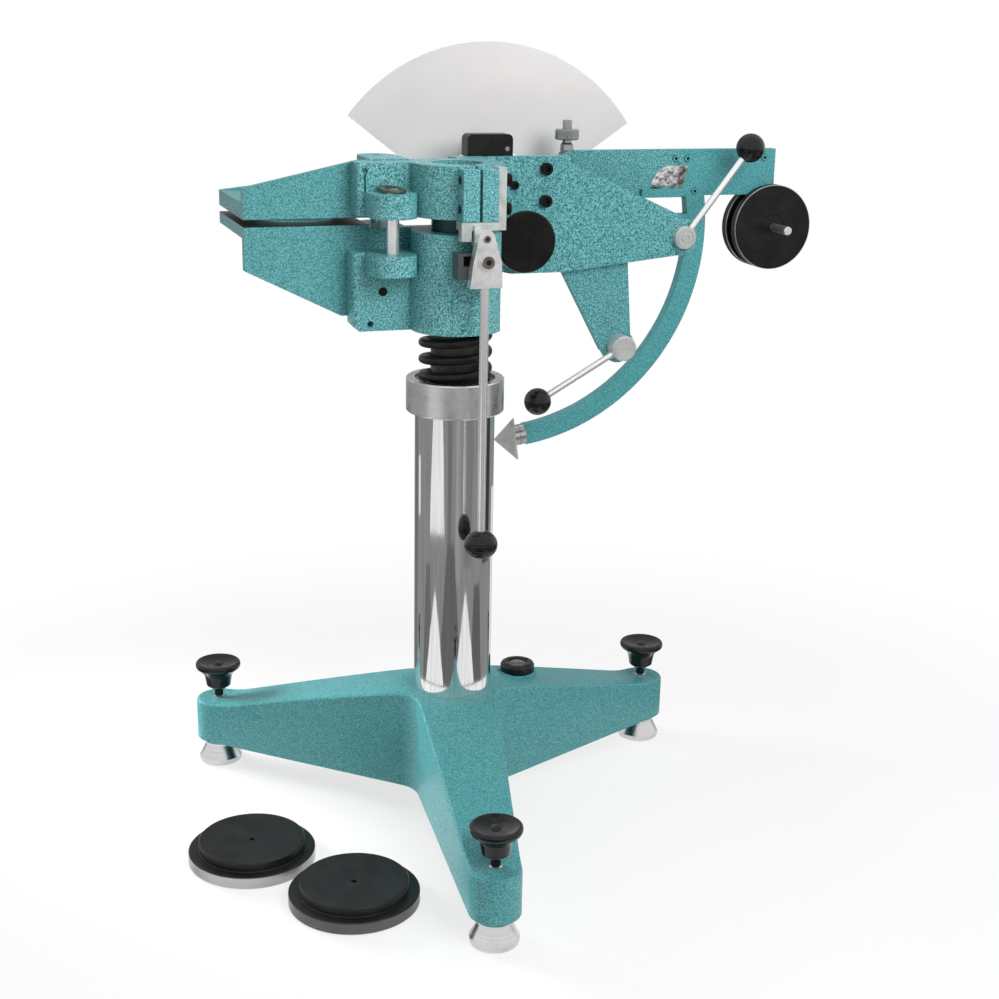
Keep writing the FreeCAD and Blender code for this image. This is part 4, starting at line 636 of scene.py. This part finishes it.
def add_piece(name, bm, body, finishes, stands_for=(), sharp=32):
    """A finished piece from a bmesh, riding on a body and standing for the named nodes."""
    bmesh.ops.recalc_face_normals(bm, faces=bm.faces)
    mesh = bpy.data.meshes.new(name)
    bm.to_mesh(mesh)
    bm.free()
    for key in finishes:
        mesh.materials.append(FINISHES[key])
    for polygon in mesh.polygons:
        polygon.use_smooth = True
    mesh.set_sharp_from_angle(angle=math.radians(sharp))
    piece = bpy.data.objects.new(name, mesh)
    bpy.context.scene.collection.objects.link(piece)
    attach(piece, body)
    if stands_for:
        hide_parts(*stands_for)
    return piece


def join_loops(bm, loops, closed):
    """Skins neighbouring loops of vertices, where a loop of one vertex is a pole."""
    bands = []
    pairs = list(zip(loops, loops[1:]))
    if closed:
        pairs.append((loops[-1], loops[0]))
    for a, b in pairs:
        faces = []
        count = max(len(a), len(b))
        for i in range(count):
            j = (i + 1) % count
            corners = [a[i % len(a)], a[j % len(a)], b[j % len(b)], b[i % len(b)]]
            corners = list(dict.fromkeys(corners))
            if len(corners) > 2:
                faces.append(bm.faces.new(corners))
        bands.append(faces)
    return bands


def lathe(bm, profile, place, axis="Z", steps=72, ripple=None):
    """Turns a profile of (radius, height) about an axis through place, in millimetres."""
    loops = []
    for row, (r, h) in enumerate(profile):
        loop = []
        for i in range(1 if r == 0 else steps):
            angle = 2 * math.pi * i / steps
            radius = r + (ripple(row, angle) if ripple else 0)
            u, v = radius * math.cos(angle), radius * math.sin(angle)
            offset = Vector((u, v, h)) if axis == "Z" else Vector((u, h, v))
            loop.append(bm.verts.new(at(*(Vector(place) + offset))))
        loops.append(loop)
    return join_loops(bm, loops, profile[0][0] > 0)


def second_finish(bands):
    """Gives the faces of some bands the second finish of their piece."""
    for band in bands:
        for face in band:
            face.material_index = 1


def curved(points, steps=5):
    """A smooth run through the points."""
    padded = [points[0], *points, points[-1]]
    run = []
    for four in zip(padded, padded[1:], padded[2:], padded[3:]):
        for i in range(steps):
            t = i / steps
            run.append(tuple(0.5 * (2 * q + (r - p) * t + (2 * p - 5 * q + 4 * r - s) * t * t
                                    + (3 * q - p - 3 * r + s) * t ** 3) for p, q, r, s in zip(*four)))
    run.append(points[-1])
    return run


# Tripod base

def tripod_outline(inset, side_steps=26, tip_steps=16, fork_steps=16):
    """The legs' plan, drawn in by an inset: straight tapering sides, round tips and swept forks."""
    tip, root, bend = LEG_TIP_R - inset, LEG_ROOT_HALF_WIDTH - inset, FORK_R + inset
    slope = (root - tip) / LEG_LENGTH
    length = math.hypot(1, slope)
    reach = (bend * length + root) / (math.sin(FORK_HALF_ANGLE) + slope * math.cos(FORK_HALF_ANGLE))
    centre = (reach * math.cos(FORK_HALF_ANGLE), reach * math.sin(FORK_HALF_ANGLE))
    touch = centre[0] - bend * slope / length
    first = math.pi + math.atan2(1, slope)
    last = 2 * (math.pi + FORK_HALF_ANGLE) - first
    leg = []
    for i in range(side_steps):
        u = touch + (LEG_LENGTH - touch) * i / side_steps
        leg.append((u, slope * u - root))
    for i in range(tip_steps + 1):
        angle = math.pi * (i / tip_steps - 0.5)
        leg.append((LEG_LENGTH + tip * math.cos(angle), tip * math.sin(angle)))
    for i in range(1, side_steps):
        u = LEG_LENGTH + (touch - LEG_LENGTH) * i / side_steps
        leg.append((u, root - slope * u))
    for i in range(fork_steps):
        angle = first + (last - first) * i / fork_steps
        leg.append((centre[0] + bend * math.cos(angle), centre[1] + bend * math.sin(angle)))
    outline = []
    for degrees in LEG_DIRECTIONS.values():
        turn = Matrix.Rotation(math.radians(degrees), 2)
        outline.extend(turn @ Vector(point) for point in leg)
    return outline


def eased(x):
    """Zero, then one to one, with a soft start about x = 0."""
    if x < -CROWN_BLEND:
        return 0.0
    return x if x > CROWN_BLEND else (x + CROWN_BLEND) ** 2 / (4 * CROWN_BLEND)


def crown(r):
    """Height of the sloping top at a distance from the column's axis."""
    slope_end = LEG_LENGTH - LEG_TIP_FLAT
    fall = (HUB_Z - LEG_TIP_Z) / (slope_end - HUB_FLAT_R)
    return HUB_Z - fall * (eased(r - HUB_FLAT_R) - eased(r - slope_end))


def tripod_base():
    bm = bmesh.new()

    def loop(points, heights):
        return [bm.verts.new(at(p.x, p.y, z)) for p, z in zip(points, heights)]

    def top(points, drop):
        heights = []
        for p in points:
            z = crown(p.length)
            if (p - Vector(LEVEL_AT)).length < LEVEL_PAD_R + LEVEL_SEAT_MARGIN:
                z = min(z, LEVEL_PAD_Z - LEVEL_SEAT_DROP)
            heights.append(z - drop)
        return heights

    def drawn_in(points, share):
        return [p.lerp(p.normalized() * (TUBE_R - COLUMN_BITE), share) for p in points]

    outer = tripod_outline(0)
    shoulder = tripod_outline(EDGE_ROUND)
    inner = tripod_outline(CAST_WALL)
    wall_top = [z - EDGE_ROUND for z in top(shoulder, 0)]
    loops = [loop(tripod_outline(LOWER_EDGE), [LEG_UNDERSIDE_Z] * len(outer)),
             loop(outer, [LEG_UNDERSIDE_Z + LOWER_EDGE] * len(outer)), loop(outer, wall_top)]
    round_steps = 6
    for i in range(1, round_steps + 1):
        angle = 0.5 * math.pi * i / round_steps
        ring = tripod_outline(EDGE_ROUND * (1 - math.cos(angle)))
        loops.append(loop(ring, [z + EDGE_ROUND * math.sin(angle) for z in wall_top]))
    top_steps = 46
    for i in range(1, top_steps + 1):
        ring = drawn_in(shoulder, i / top_steps)
        loops.append(loop(ring, top(ring, 0)))
    ceiling_steps = 12
    for i in range(ceiling_steps + 1):
        ring = drawn_in(inner, 1 - i / ceiling_steps)
        loops.append(loop(ring, top(ring, CAST_WALL)))
    loops.append(loop(inner, [LEG_UNDERSIDE_Z] * len(inner)))
    join_loops(bm, loops, True)

    socket_r, socket_top = TUBE_R + SOCKET_WALL, HUB_Z - HIDDEN_DROP
    lathe(bm, ((TUBE_R, LEG_UNDERSIDE_Z), (socket_r, LEG_UNDERSIDE_Z), (socket_r, socket_top),
               (TUBE_R, socket_top)), (0, 0, 0))
    pad_wall = LEVEL_PAD_Z - LEVEL_PAD_EDGE
    lathe(bm, ((0, LEVEL_PAD_FOOT_Z), (LEVEL_PAD_R, LEVEL_PAD_FOOT_Z), (LEVEL_PAD_R, pad_wall),
               (LEVEL_PAD_R - LEVEL_PAD_EDGE, LEVEL_PAD_Z), (0, LEVEL_PAD_Z)), (*LEVEL_AT, 0))
    bore, boss_top = SCREW_R + SCREW_GAP, LEG_TIP_Z - HIDDEN_DROP
    for x, y in foot_places().values():
        lathe(bm, ((bore, BOSS_BOTTOM_Z), (BOSS_R - LOWER_EDGE, BOSS_BOTTOM_Z),
                   (BOSS_R, BOSS_BOTTOM_Z + LOWER_EDGE), (BOSS_R, boss_top), (bore, boss_top)), (x, y, 0))
    add_piece("base_casting", bm, "root", ["base"], ["tripod_base"], 40)


def foot_places():
    return {name: (LEG_LENGTH * math.cos(math.radians(d)), LEG_LENGTH * math.sin(math.radians(d)))
            for name, d in LEG_DIRECTIONS.items()}


def levelling_feet():
    knob = [*KNOB_SPINDLE[:-1], *curved(KNOB_FLARE), *curved(KNOB_RIM)[1:], *KNOB_BUTTON[1:]]
    for name, (x, y) in foot_places().items():
        bm = bmesh.new()
        lathe(bm, FOOT, (x, y, 0), steps=96)
        add_piece("foot_%s_cone" % name, bm, "foot_" + name, ["foot"], ["levelling_foot_" + name], 24)
        bm = bmesh.new()
        bands = lathe(bm, knob, (x, y, 0), steps=96)
        second_finish(bands[:KNOB_STEEL_BANDS])
        add_piece("screw_%s_knob" % name, bm, "screw_" + name, ["bakelite", "foot"],
                  ["levelling_screw_" + name], 28)


def spirit_level():
    """The level's rim with its ribs, its domed vial and the ring marked on it."""
    place = (*LEVEL_AT, LEVEL_TOP_Z)
    bm = bmesh.new()
    lathe(bm, LEVEL_RIM, place)
    for i in range(LEVEL_RIBS):
        angle = LEVEL_FIRST_RIB + 2 * math.pi * i / LEVEL_RIBS
        x = LEVEL_AT[0] + LEVEL_RIB_REACH * math.cos(angle)
        y = LEVEL_AT[1] + LEVEL_RIB_REACH * math.sin(angle)
        lathe(bm, LEVEL_RIB, (x, y, LEVEL_TOP_Z), steps=20)
    add_piece("level_rim", bm, "root", ["bakelite"])
    bm = bmesh.new()
    lathe(bm, [*LEVEL_VIAL, *curved(LEVEL_DOME)[1:]], place)
    add_piece("level_dome", bm, "root", ["glass"], ["level_glass"])
    bm = bmesh.new()
    lathe(bm, LEVEL_MARK, place, steps=48)
    add_piece("level_mark", bm, "root", ["edge"])


# Fittings

def lever_knob():
    low, high = LEVER_KNOB_GROOVE
    profile = [(0, -LEVER_KNOB_HALF_H)]
    steps = 60
    for i in range(1, steps):
        angle = math.pi * (i / steps - 0.5)
        h = LEVER_KNOB_HALF_H * math.sin(angle)
        groove = LEVER_KNOB_GROOVE_DEPTH if low < abs(h) < high else 0
        profile.append((LEVER_KNOB_R * math.cos(angle) - groove, h))
    profile.append((0, LEVER_KNOB_HALF_H))
    bm = bmesh.new()
    lathe(bm, profile, LEVER_KNOB_AT)
    add_piece("lever_knob_body", bm, "clamp_lever", ["bakelite"], ["lever_knob"])


def lever_screw():
    """Caps of the lever head's socket screw and of the pin it turns on, each with a dark recess."""
    bm = bmesh.new()
    for place, bore, rim in LEVER_CAPS:
        cap = ((0, CAP_RECESS), (bore, CAP_RECESS), (bore, CAP_FACE), (rim - 0.7, CAP_FACE),
               (rim, CAP_FACE + 0.6), (rim, CAP_FOOT), (0, CAP_FOOT))
        bands = lathe(bm, cap, place, "Y", 48)
        second_finish(bands[:1])
    add_piece("lever_screw", bm, "clamp_lever", ["clip", "socket"])


def ring_clip():
    bm = bmesh.new()
    lathe(bm, CLIP, CLIP_AT, steps=64)
    turn = Matrix.Rotation(CLIP_TILT, 3, Vector((0.8, 0.6, 0)))
    bmesh.ops.rotate(bm, cent=at(*CLIP_AT), matrix=turn, verts=bm.verts)
    add_piece("ring_clip", bm, "root", ["clip"], ["pin_clip"])


def trim_nut():
    def ridge(row, angle):
        return TRIM_RIDGE_DEPTH * math.cos(TRIM_RIDGES * angle) if row in (2, 3) else 0

    bm = bmesh.new()
    lathe(bm, TRIM_NUT, TRIM_AT, steps=4 * TRIM_RIDGES, ripple=ridge)
    add_piece("trim_nut_knurled", bm, "trim_nut", ["nut"], ["trim_nut"], 24)


def share_of(points, t):
    """The value at t on a broken line of (share, value) points."""
    for (t0, v0), (t1, v1) in zip(points, points[1:]):
        if t <= t1:
            return v0 + (v1 - v0) * (t - t0) / (t1 - t0)
    return points[-1][1]


def catch_insert():
    """A rough lump of steel let into the beam, higher in the middle than at its rim."""
    rows, columns = 26, 44
    front, back = INSERT_Y
    lowest, highest = INSERT_RISE
    bm = bmesh.new()
    grid = []
    for j in range(rows + 1):
        t = j / rows
        left = share_of(INSERT_LEFT, t)
        right = INSERT_RIGHT[0] + (INSERT_RIGHT[1] - INSERT_RIGHT[0]) * t
        row = []
        for i in range(columns + 1):
            s = i / columns
            x, z = left + (right - left) * s, INSERT_Z[0] + (INSERT_Z[1] - INSERT_Z[0]) * t
            rim = min(1, 9 * min(s, 1 - s), 6 * min(t, 1 - t))
            folds = noise.fractal(Vector((x, z, 0)) / INSERT_FOLD, 0.7, 2.1, 4)
            thick = INSERT_EDGE + rim * min(max(1.1 + 1.9 * folds, lowest), highest)
            row.append(bm.verts.new(at(x, back - min(thick, back - front), z)))
        grid.append(row)
    for a, b in zip(grid, grid[1:]):
        for i in range(columns):
            bm.faces.new((a[i], a[i + 1], b[i + 1], b[i]))
    rim = grid[0] + [row[-1] for row in grid[1:]] + grid[-1][-2::-1] + [row[0] for row in grid[-2:0:-1]]
    seat_y = at(0, back, 0).y
    foot = [bm.verts.new((vert.co.x, seat_y, vert.co.z)) for vert in rim]
    join_loops(bm, [rim, foot], False)
    bm.faces.new(foot)
    add_piece("catch_insert", bm, "pendulum", ["crumpled"], ["striker_plate"], 50)


def beam_screws():
    """Painted screw heads, each with a dark recess and a dark line round it, both painted shade."""
    bm = bmesh.new()
    for x, z in BEAM_SCREWS:
        bands = lathe(bm, BEAM_SCREW, (x, BEAM_FACE_Y, z), "Y", 36)
        # The recess and the ring round the head are painted shade, in the black screw finish.
        second_finish((*bands[:2], *bands[5:]))
    add_piece("beam_screw_heads", bm, "pendulum", ["beam", "screw"], ["beam_screws"])


def plate_screw():
    """The small dark socket screw on the side plate."""
    bm = bmesh.new()
    bands = lathe(bm, PLATE_SCREW, PLATE_SCREW_AT, "Y", 40)
    second_finish(bands[:1])
    add_piece("plate_screw", bm, "root", ["screw", "socket"])


def hub_rings(name, place, rings):
    """Raised rings on the face of a handle's hub."""
    bm = bmesh.new()
    for inner, outer, rise in rings:
        shoulder = RING_EDGE - rise
        lathe(bm, ((inner, 0), (inner, shoulder), (inner + RING_EDGE, -rise), (outer - RING_EDGE, -rise),
                   (outer, shoulder), (outer, 0)), place, "Y")
    add_piece(name + "_rings", bm, name + "_lever", [name + "_face"])


def disc_weights():
    """The beam's two discs, with a thin worn edge in bright steel, which also stands as a painted
    highlight on the rim.
    """
    inner_r, outer_r = WEIGHT_DISH_R
    rim = WEIGHT_R - WEIGHT_EDGE
    for name, (near, far) in WEIGHT_Y.items():
        dish = near + WEIGHT_DISH
        profile = ((WEIGHT_BORE, dish), (inner_r, dish), (outer_r, near), (rim, near),
                   (WEIGHT_R, near + WEIGHT_EDGE), (WEIGHT_R, far - WEIGHT_EDGE), (rim, far),
                   (WEIGHT_BORE, far))
        bm = bmesh.new()
        bands = lathe(bm, profile, (WEIGHT_AT[0], 0, WEIGHT_AT[1]), "Y", 128)
        # The chamfers take the bright edge steel: wear, and a painted highlight on the rim.
        second_finish((bands[3], bands[5]))
        add_piece("disc_weight_" + name, bm, "pendulum", ["weight", "edge"], ["weight_" + name], 25)


def spare_weights():
    for name, (x, y) in SPARES.items():
        bm = bmesh.new()
        lathe(bm, SPARE, (x, y, 0), steps=144)
        add_piece("spare_disc_" + name, bm, "root", ["spare_" + name], ["spare_weight_" + name], 28)


def dial_direction(i):
    """The direction from the pivot to the dial's graduation i, as (x, z)."""
    first, last = DIAL_TICKS_DEG
    angle = math.radians(first + (last - first) * i / DIAL_DIVISIONS)
    return Vector((math.cos(angle), math.sin(angle)))


def dial_scale():
    """Graduations on the dial's far face, where the pointer runs."""
    bm = bmesh.new()
    for i in range(DIAL_DIVISIONS + 1):
        long, half = next((long, half) for every, long, half in DIAL_TICKS if i % every == 0)
        out = dial_direction(i)
        across = Vector((-out.y, out.x)) * half
        ends = ((DIAL_TICK_R - long, -1), (DIAL_TICK_R, -1), (DIAL_TICK_R, 1), (DIAL_TICK_R - long, 1))
        corners = []
        for y in DIAL_INK_Y:
            for r, side in ends:
                spot = out * r + across * side
                corners.append(bm.verts.new(at(PIVOT_AT[0] + spot.x, y, PIVOT_AT[1] + spot.y)))
        for face in ((0, 1, 2, 3), (4, 7, 6, 5), (0, 4, 5, 1), (1, 5, 6, 2), (2, 6, 7, 3), (3, 7, 4, 0)):
            bm.faces.new([corners[k] for k in face])
    add_piece("dial_scale", bm, "root", ["ink"])


def dial_numbers():
    """Plain numbers at the long graduations, read from the far side."""
    facing = Vector((0, 1, 0))
    for i in range(0, DIAL_DIVISIONS + 1, DIAL_TEXT_EVERY):
        text = bpy.data.curves.new("dial_number_%d" % i, "FONT")
        text.body = str(i)
        text.size = DIAL_TEXT_SIZE * MM
        text.align_x = "CENTER"
        text.align_y = "CENTER"
        text.extrude = 0.1 * MM
        text.materials.append(FINISHES["ink"])
        number = bpy.data.objects.new("dial_number_%d" % i, text)
        out = dial_direction(i)
        up = Vector((out.x, 0, out.y))
        turn = Matrix((up.cross(facing), up, facing)).transposed().to_4x4()
        spot = at(PIVOT_AT[0] + DIAL_TEXT_R * up.x, DIAL_BACK_Y + 0.05, PIVOT_AT[1] + DIAL_TEXT_R * up.z)
        number.matrix_world = Matrix.Translation(spot) @ turn
        bpy.context.scene.collection.objects.link(number)
        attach(number, "root")


def block_pin():
    """A bright pin end in the black block that carries the dial."""
    bm = bmesh.new()
    lathe(bm, BLOCK_PIN, BLOCK_PIN_AT, "Y", 36)
    add_piece("block_pin", bm, "root", ["edge"])


# Studio

def camera():
    data = bpy.data.cameras.new("camera")
    data.lens = CAMERA_LENS
    data.sensor_width = SENSOR_WIDTH
    data.clip_start = 0.05
    data.clip_end = 60
    eye = bpy.data.objects.new("camera", data)
    bpy.context.scene.collection.objects.link(eye)
    forward = Vector((math.cos(CAMERA_AZIMUTH) * math.cos(CAMERA_PITCH),
                      math.sin(CAMERA_AZIMUTH) * math.cos(CAMERA_PITCH), -math.sin(CAMERA_PITCH)))
    right = Vector((math.sin(CAMERA_AZIMUTH), -math.cos(CAMERA_AZIMUTH), 0))
    up = right.cross(forward)
    side = right * math.cos(CAMERA_ROLL) + up * math.sin(CAMERA_ROLL)
    top = up * math.cos(CAMERA_ROLL) - right * math.sin(CAMERA_ROLL)
    turn = Matrix((side, top, -forward)).transposed().to_4x4()
    eye.matrix_world = Matrix.Translation(CAMERA_PLACE) @ turn
    bpy.context.scene.camera = eye


# The floor is plain pale paint. To the camera and in reflections it shows a share of its own
# light, which grows to all of it away from the object, so that it runs into the background.
# Near and far are (distance in metres, share).
FLOOR_HALF = 12.0
FLOOR_Z = -0.0005
FLOOR_COLOUR = (0.9, 0.9, 0.9, 1)
FLOOR_NEAR = (0.45, 0.72)
FLOOR_FAR = (1.3, 1.0)


def camera_or_glossy(tree):
    path = tree.nodes.new("ShaderNodeLightPath")
    seen = tree.nodes.new("ShaderNodeMath")
    seen.operation = "MAXIMUM"
    tree.links.new(path.outputs["Is Camera Ray"], seen.inputs[0])
    tree.links.new(path.outputs["Is Glossy Ray"], seen.inputs[1])
    return seen.outputs[0]


def floor_material():
    material = bpy.data.materials.new("floor_white")
    material.use_nodes = True
    tree = material.node_tree
    tree.nodes.remove(tree.nodes["Principled BSDF"])
    diffuse = tree.nodes.new("ShaderNodeBsdfDiffuse")
    diffuse.inputs["Color"].default_value = FLOOR_COLOUR
    shine = tree.nodes.new("ShaderNodeEmission")
    shine.inputs["Color"].default_value = (1, 1, 1, 1)
    place = tree.nodes.new("ShaderNodeTexCoord")
    distance = tree.nodes.new("ShaderNodeVectorMath")
    distance.operation = "LENGTH"
    tree.links.new(place.outputs["Object"], distance.inputs[0])
    level = tree.nodes.new("ShaderNodeMapRange")
    level.interpolation_type = "SMOOTHSTEP"
    limits = (FLOOR_NEAR[0], FLOOR_FAR[0], FLOOR_NEAR[1], FLOOR_FAR[1])
    for value, socket in zip(limits, list(level.inputs)[1:5]):
        socket.default_value = value
    tree.links.new(distance.outputs["Value"], level.inputs[0])
    share = tree.nodes.new("ShaderNodeMath")
    share.operation = "MULTIPLY"
    tree.links.new(camera_or_glossy(tree), share.inputs[0])
    tree.links.new(level.outputs[0], share.inputs[1])
    mix = tree.nodes.new("ShaderNodeMixShader")
    tree.links.new(share.outputs[0], mix.inputs[0])
    tree.links.new(diffuse.outputs[0], mix.inputs[1])
    tree.links.new(shine.outputs[0], mix.inputs[2])
    tree.links.new(mix.outputs[0], tree.nodes["Material Output"].inputs["Surface"])
    return material


def stage_object(name, bm, material):
    mesh = bpy.data.meshes.new(name)
    bm.to_mesh(mesh)
    bm.free()
    mesh.materials.append(material)
    thing = bpy.data.objects.new(name, mesh)
    bpy.context.scene.collection.objects.link(thing)
    return thing


def floor():
    bm = bmesh.new()
    bmesh.ops.create_grid(bm, x_segments=8, y_segments=8, size=FLOOR_HALF)
    plane = stage_object("floor", bm, floor_material())
    plane.location.z = FLOOR_Z


WORLD_LEVEL = 0.32


def world():
    sky = bpy.data.worlds.new("studio")
    sky.use_nodes = True
    tree = sky.node_tree
    background = tree.nodes["Background"]
    background.inputs["Color"].default_value = (1, 1, 1, 1)
    level = tree.nodes.new("ShaderNodeMapRange")
    level.inputs["To Min"].default_value = WORLD_LEVEL
    level.inputs["To Max"].default_value = 1.0
    tree.links.new(camera_or_glossy(tree), level.inputs[0])
    tree.links.new(level.outputs[0], background.inputs["Strength"])
    bpy.context.scene.world = sky


# Soft boxes, as name, place, point aimed at, width, height, watts, spread in degrees.
# The left one has a grid, and lights the base only.
LAMPS = (
    ("key", (0.45, -1.45, 1.65), (-0.05, 0.0, 0.75), 1.0, 1.0, 24.5, 180),
    ("left", (-0.95, 0.85, 0.42), (-0.13, -0.05, 0.10), 0.5, 0.4, 3.4, 70),
    ("top", (0.0, 0.2, 2.9), (0.0, 0.0, 0.7), 1.6, 1.6, 22, 180),
)


def lamps():
    for name, place, aim, width, height, watts, spread in LAMPS:
        data = bpy.data.lights.new(name, "AREA")
        data.shape = "RECTANGLE"
        data.size = width
        data.size_y = height
        data.energy = watts
        data.spread = math.radians(spread)
        lamp = bpy.data.objects.new(name, data)
        lamp.location = place
        lamp.rotation_mode = "QUATERNION"
        lamp.rotation_quaternion = (Vector(aim) - Vector(place)).to_track_quat("-Z", "Y")
        lamp.visible_camera = False
        lamp.visible_glossy = False
        bpy.context.scene.collection.objects.link(lamp)


# Mats on the floor round the column, seen only in reflections, in the order they lie, as
# compass angles of their sides, near and far distance, width left at the far end, grey level
MATS = (
    (0, 360, 0.50, 6.0, 1.0, 142),
    (100, 125, 0.50, 4.0, 1.0, 116),
    (345, 376, 1.1, 3.5, 1.0, 60),
    (281, 306, 1.1, 3.5, 1.0, 128),
    (234, 247, 0.7, 3.5, 1.0, 122),
    (247, 256, 0.9, 3.5, 1.0, 140),
    (258, 271, 1.0, 3.5, 1.0, 158),
    (160, 190, 0.50, 1.1, 0.5, 112),
    (214, 276, 0.50, 1.25, 0.3, 104),
    (306, 345, 0.50, 0.98, 0.5, 100),
    (170, 228, 0.50, 0.94, 0.06, 248),
    (260, 318, 0.50, 0.94, 0.06, 246),
    (180, 228, 1.3, 2.6, 0.5, 244),
    (129, 140, 1.4, 1.9, 1.0, 232),
    (329, 341, 1.2, 2.8, 1.0, 238),
    (392, 415, 0.50, 1.6, 1.0, 236),
)

MAT_Z = 0.0005
MAT_STEP = 0.0003

# A board behind the object, seen only in reflections: compass angles, distance, height, level
BACK_BOARD = (30, 118, 2.6, 3.2, 178)
BACK_BOARD_FOOT = 0.02


def reflection_only(thing):
    thing.visible_camera = False
    thing.visible_diffuse = False
    thing.visible_shadow = False
    thing.visible_transmission = False


def glow_material(level):
    material = bpy.data.materials.new("glow_%03d" % level)
    material.use_nodes = True
    tree = material.node_tree
    tree.nodes.remove(tree.nodes["Principled BSDF"])
    glow = tree.nodes.new("ShaderNodeEmission")
    glow.inputs["Color"].default_value = grey(level)
    tree.links.new(glow.outputs[0], tree.nodes["Material Output"].inputs["Surface"])
    return material


def compass(degrees, distance, z):
    angle = math.radians(degrees)
    return COLUMN_FOOT + Vector((distance * math.cos(angle), distance * math.sin(angle), z))


def mats():
    for i, (start, end, near, far, narrow, level) in enumerate(MATS):
        bm = bmesh.new()
        columns = max(2, round((end - start) / 5))
        rows = 8
        middle = (start + end) / 2
        grid = []
        for j in range(rows + 1):
            share = j / rows
            squeeze = 1 + (narrow - 1) * share
            distance = near + (far - near) * share
            row = []
            for k in range(columns + 1):
                degrees = middle + (start + (end - start) * k / columns - middle) * squeeze
                row.append(bm.verts.new(compass(degrees, distance, MAT_Z + MAT_STEP * i)))
            grid.append(row)
        for a, b in zip(grid, grid[1:]):
            for k in range(columns):
                bm.faces.new((a[k], a[k + 1], b[k + 1], b[k]))
        reflection_only(stage_object("mat_%d" % i, bm, glow_material(level)))


def back_board():
    start, end, distance, high, level = BACK_BOARD
    bm = bmesh.new()
    columns = 12
    angles = [start + (end - start) * k / columns for k in range(columns + 1)]
    foot, top = [[bm.verts.new(compass(angle, distance, z)) for angle in angles]
                 for z in (BACK_BOARD_FOOT, high)]
    for k in range(columns):
        bm.faces.new((foot[k], foot[k + 1], top[k + 1], top[k]))
    reflection_only(stage_object("back_board", bm, glow_material(level)))


dress_nodes()
tripod_base()
levelling_feet()
spirit_level()
lever_knob()
lever_screw()
ring_clip()
trim_nut()
catch_insert()
beam_screws()
plate_screw()
hub_rings("release", RELEASE_HUB_AT, RELEASE_RINGS)
hub_rings("lock", LOCK_HUB_AT, LOCK_RINGS)
disc_weights()
spare_weights()
dial_scale()
dial_numbers()
block_pin()
camera()
world()
floor()
lamps()
mats()
back_board()

bpy.context.scene.view_settings.view_transform = "Standard"
